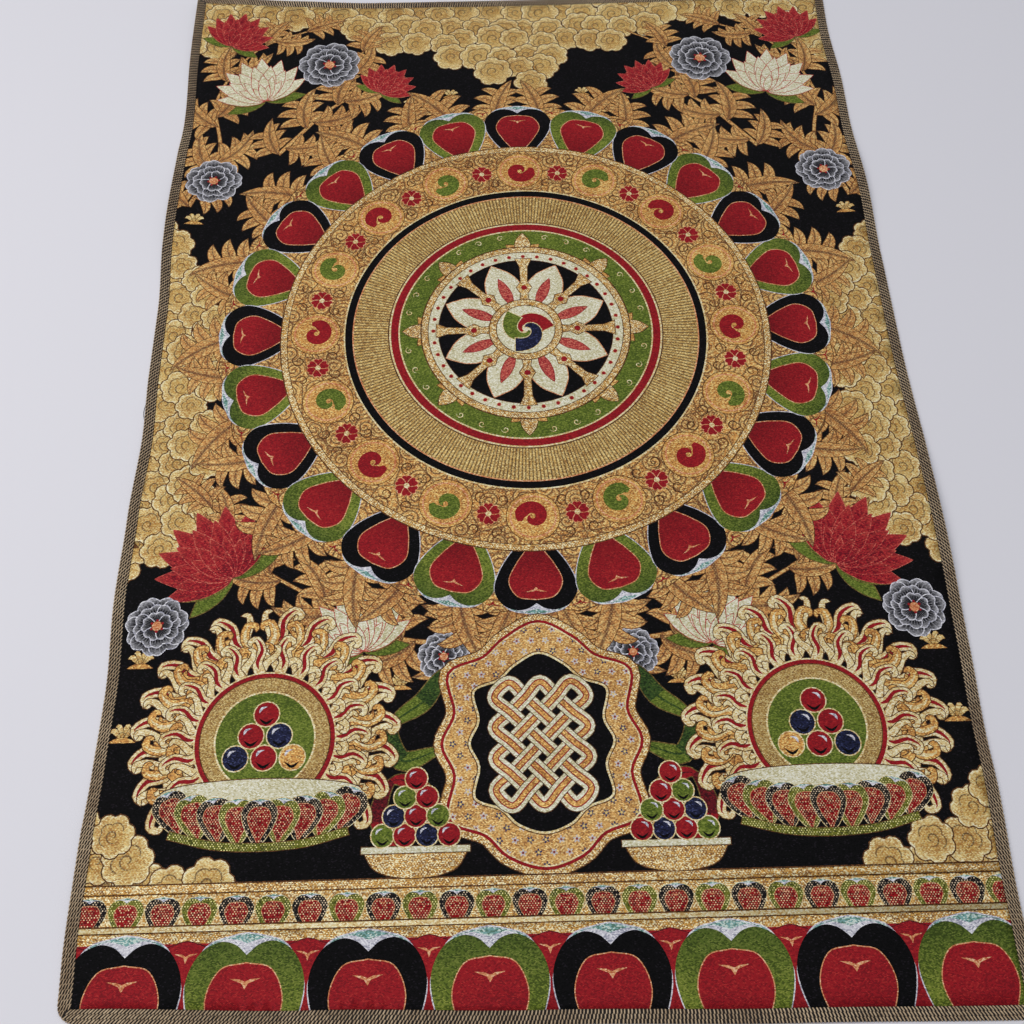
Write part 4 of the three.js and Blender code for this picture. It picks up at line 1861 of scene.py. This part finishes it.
SIDES = {
    "foot": (lambda s: (s, 0 * s), WIDTH, "foot_left", "foot_right", (3, 2.3, -0.5, 0.98, 0.94)),
    "right": (lambda s: (1 + 0 * s, s), HEIGHT, "foot_right", "head_right", (5, 3.0, -2.4, 0.79, 0.66)),
    "head": (lambda s: (1 - s, 1 + 0 * s), WIDTH, "head_right", "head_left", (3, 2.3, -0.5, 0.98, 0.94)),
    "left": (lambda s: (0 * s, 1 - s), HEIGHT, "head_left", "foot_left", (5, 3.0, 2.4, 0.79, 0.66)),
}

# The height of the stitches and the core's section: share of the overlock's width from its inner
# side, height over the surface. Then a stitch's way: share of it from its middle, how far it dips

CROWN = ((-0.1, 1.4), (0.06, 1.75), (0.3, 1.98), (0.66, 2.0), (0.92, 1.62), (1.0, 1.0))
CORE_SECTION = ((0.0, 0.0), (0.9, 0.0), (0.97, 0.45), (0.97, 0.9), (0.86, 1.25), (0.4, 1.5), (0.0, 1.3))
STITCH_WAY = ((-0.5, -0.6), (-0.32, -0.1), (0.0, 0.0), (0.32, -0.1), (0.5, -0.6))
STRAND_SECTION = ((-0.5, -0.2), (-0.28, 0.7), (0.28, 0.7), (0.5, -0.2))


def rounded(x, y, corner):
    """Points pulled in to the corner's own radius."""
    radius = CORNER_RADIUS[corner]
    u, v = float("right" in corner), float("head" in corner)
    cx, cy = placed(u, v, 0.0)
    cx, cy = cx + radius * (1 - 2 * u), cy + radius * (1 - 2 * v)
    dx, dy = x - cx, y - cy
    near = (dx * (2 * u - 1) > 0) & (dy * (2 * v - 1) > 0)
    far = np.maximum(np.hypot(dx, dy), 1e-9)
    pull = np.where(near & (far > radius), radius / far, 1.0)
    return cx + dx * pull, cy + dy * pull


def over_edge(side, s, across, height):
    """Points on the overlock: s along the side, across its width, height over the surface."""
    shares, _, start, end, _ = SIDES[side]
    u, v = shares(np.clip(s, 0, 1))
    inner_x, inner_y = placed(u, v, OVERLOCK_WIDE)
    outer_x, outer_y = placed(u, v, 0.0)
    x = inner_x + (outer_x - inner_x) * across
    y = inner_y + (outer_y - inner_y) * across
    for corner in (start, end):
        x, y = rounded(x, y, corner)
    return np.stack([x, y, lift(x, y) + height], axis=-1)


def skin(rings):
    """Points and faces of tubes: rings[tube, station, section, xyz]."""
    tubes, stations, sides, _ = rings.shape
    k = np.arange(tubes * stations * sides).reshape(tubes, stations, sides)
    a, b = k[:, :-1], k[:, 1:]
    around = np.stack([a, np.roll(a, -1, 2), np.roll(b, -1, 2), b], -1).reshape(-1, 4)
    faces = around.tolist()
    faces += k[:, 0, ::-1].reshape(-1, sides).tolist()
    faces += k[:, -1].reshape(-1, sides).tolist()
    return rings.reshape(-1, 3), faces


def stitch_row(side, row, seed):
    """One row of the short stitches that cover the edge, each dipping under at both ends."""
    _, long, _, _, (rows, pitch, lean, width, cover) = SIDES[side]
    rng = np.random.default_rng(seed)
    count = int(long / pitch)
    shift = row * 0.5 % 1  # a stitch lies between two of the last row
    s = (np.arange(count) + 0.25 + shift + rng.uniform(-UNEVEN_PLACE, UNEVEN_PLACE, count)) / count
    way = np.array([share for share, _ in STITCH_WAY])
    across = (row + 0.5 + way * cover) / rows
    height = np.interp(across, *zip(*CROWN)) + np.array([dip for _, dip in STITCH_WAY])
    height = height + rng.uniform(*UNEVEN_HIGH, (count, 1))
    leaning = lean * (1 + rng.uniform(-UNEVEN_SIZE, UNEVEN_SIZE, (count, 1)))
    along = s[:, None] + way[None, :] * leaning / long
    reach = np.minimum(across[None, :], 1.0) + 0 * along
    line = over_edge(side, along, reach, height)
    ahead = np.gradient(line, axis=1)
    ahead /= np.linalg.norm(ahead, axis=2, keepdims=True)
    before = over_edge(side, along - PROBE / long, reach, height)
    side_way = over_edge(side, along + PROBE / long, reach, height) - before
    side_way -= ahead * (side_way * ahead).sum(2, keepdims=True)
    length = np.linalg.norm(side_way, axis=2, keepdims=True)
    sound = length[..., 0].min(axis=1) > 0.02
    line, ahead, side_way = line[sound], ahead[sound], (side_way / np.maximum(length, 1e-9))[sound]
    outward = np.cross(side_way, ahead)
    outward *= np.sign((outward * np.array([0, 0, 1])).sum(2, keepdims=True).mean(1, keepdims=True))
    fat = width * (1 + rng.uniform(-UNEVEN_SIZE, UNEVEN_SIZE, (len(line), 1, 1, 1)))
    rings = line[:, :, None, :]
    section = np.array(STRAND_SECTION)
    rings = rings + side_way[:, :, None, :] * section[None, None, :, :1] * fat
    rings = rings + outward[:, :, None, :] * section[None, None, :, 1:] * STRAND_HIGH
    return skin(rings)


def core(side):
    """The dark thread packed under the strands, mitred at the corners."""
    _, long, _, _, _ = SIDES[side]
    section = np.array(CORE_SECTION)
    ends = np.array(CORE_ENDS) / long
    even = np.linspace(0, 1, int(long / CORE_STEP) + 1)
    even = even[(even > ends[-1]) & (even < 1 - ends[-1])]
    shares = np.unique(np.concatenate([ends, even, 1 - ends]))
    rings = over_edge(side, shares[:, None], section[None, :, 0], section[None, :, 1])
    return skin(rings[None])


def loose_tail():
    """A loose end of thread that lies beside the left edge, as a thin three-sided tube."""
    start = complex(*(float(c) for c in placed(0.0, TAIL_AT, 0.0)))
    way = [start + z for z in smooth(TAIL, 3, False)]
    line = np.array([(z.real, z.imag, TAIL_HIGH + 0.5 * max(0, 1 - k / 4)) for k, z in enumerate(way)])
    turns = 2 * math.pi * np.arange(3) / 3
    ring = np.stack([np.cos(turns), np.zeros(3), np.sin(turns)], -1) * TAIL_RADIUS
    return skin((line[:, None, :] + ring[None])[None])


def overlock(side, threads, seed):
    """One side's overcast edge: dark thread packed under rows of light stitches."""
    parts = [(core(side), "core")]
    for row in range(SIDES[side][4][0]):
        parts.append((stitch_row(side, row, seed + row), "light"))
    if side == "left":
        parts.append((loose_tail(), "core"))
    places, faces, slots = [], [], []
    order = list(threads)
    for (spots, skins), thread in parts:
        shift = sum(len(p) for p in places)
        places.append(spots)
        faces += [tuple(i + shift for i in face) for face in skins]
        slots += [order.index(thread)] * len(skins)
    mesh = bpy.data.meshes.new(f"overcast_{side}")
    mesh.from_pydata((np.vstack(places) * MM).tolist(), [], faces)
    mesh.polygons.foreach_set("material_index", slots)
    mesh.polygons.foreach_set("use_smooth", [True] * len(faces))
    for thread in order:
        mesh.materials.append(threads[thread])
    mesh.update()
    return facing_out(piece(f"overcast_{side}", mesh))


def facing_out(made):
    """The piece with all its faces turned outwards."""
    mesh = made.data
    work = bmesh.new()
    work.from_mesh(mesh)
    bmesh.ops.recalc_face_normals(work, faces=work.faces)
    work.to_mesh(mesh)
    work.free()
    return made


groups = {
    "weave": weave_group(),
    "mottle": mottle_group(),
    "scrolls": scrolls_group(),
    "rays": rays_group(),
    "streaks": streaks_group(),
    "veins": veins_group(),
    "billows": billows_group(),
    "dots": dots_group(),
    "sprigs": sprigs_group(),
    "fade": fade_group(),
}

camera()
studio()
compose()
panel = brocade_panel(groups)
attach(panel, "root")
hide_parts("brocade_panel")

threads = {
    "core": thread_material("packed_dark_thread", (17, 12, 9), (38, 28, 21), 0.85),
    "light": thread_material("beige_thread", (209, 185, 150), (148, 122, 92), 0.75),
}
for number, side in enumerate(SIDES):
    edge = overlock(side, threads, 10 * number)
    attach(edge, "root")
    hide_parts(f"overlock_{side}")
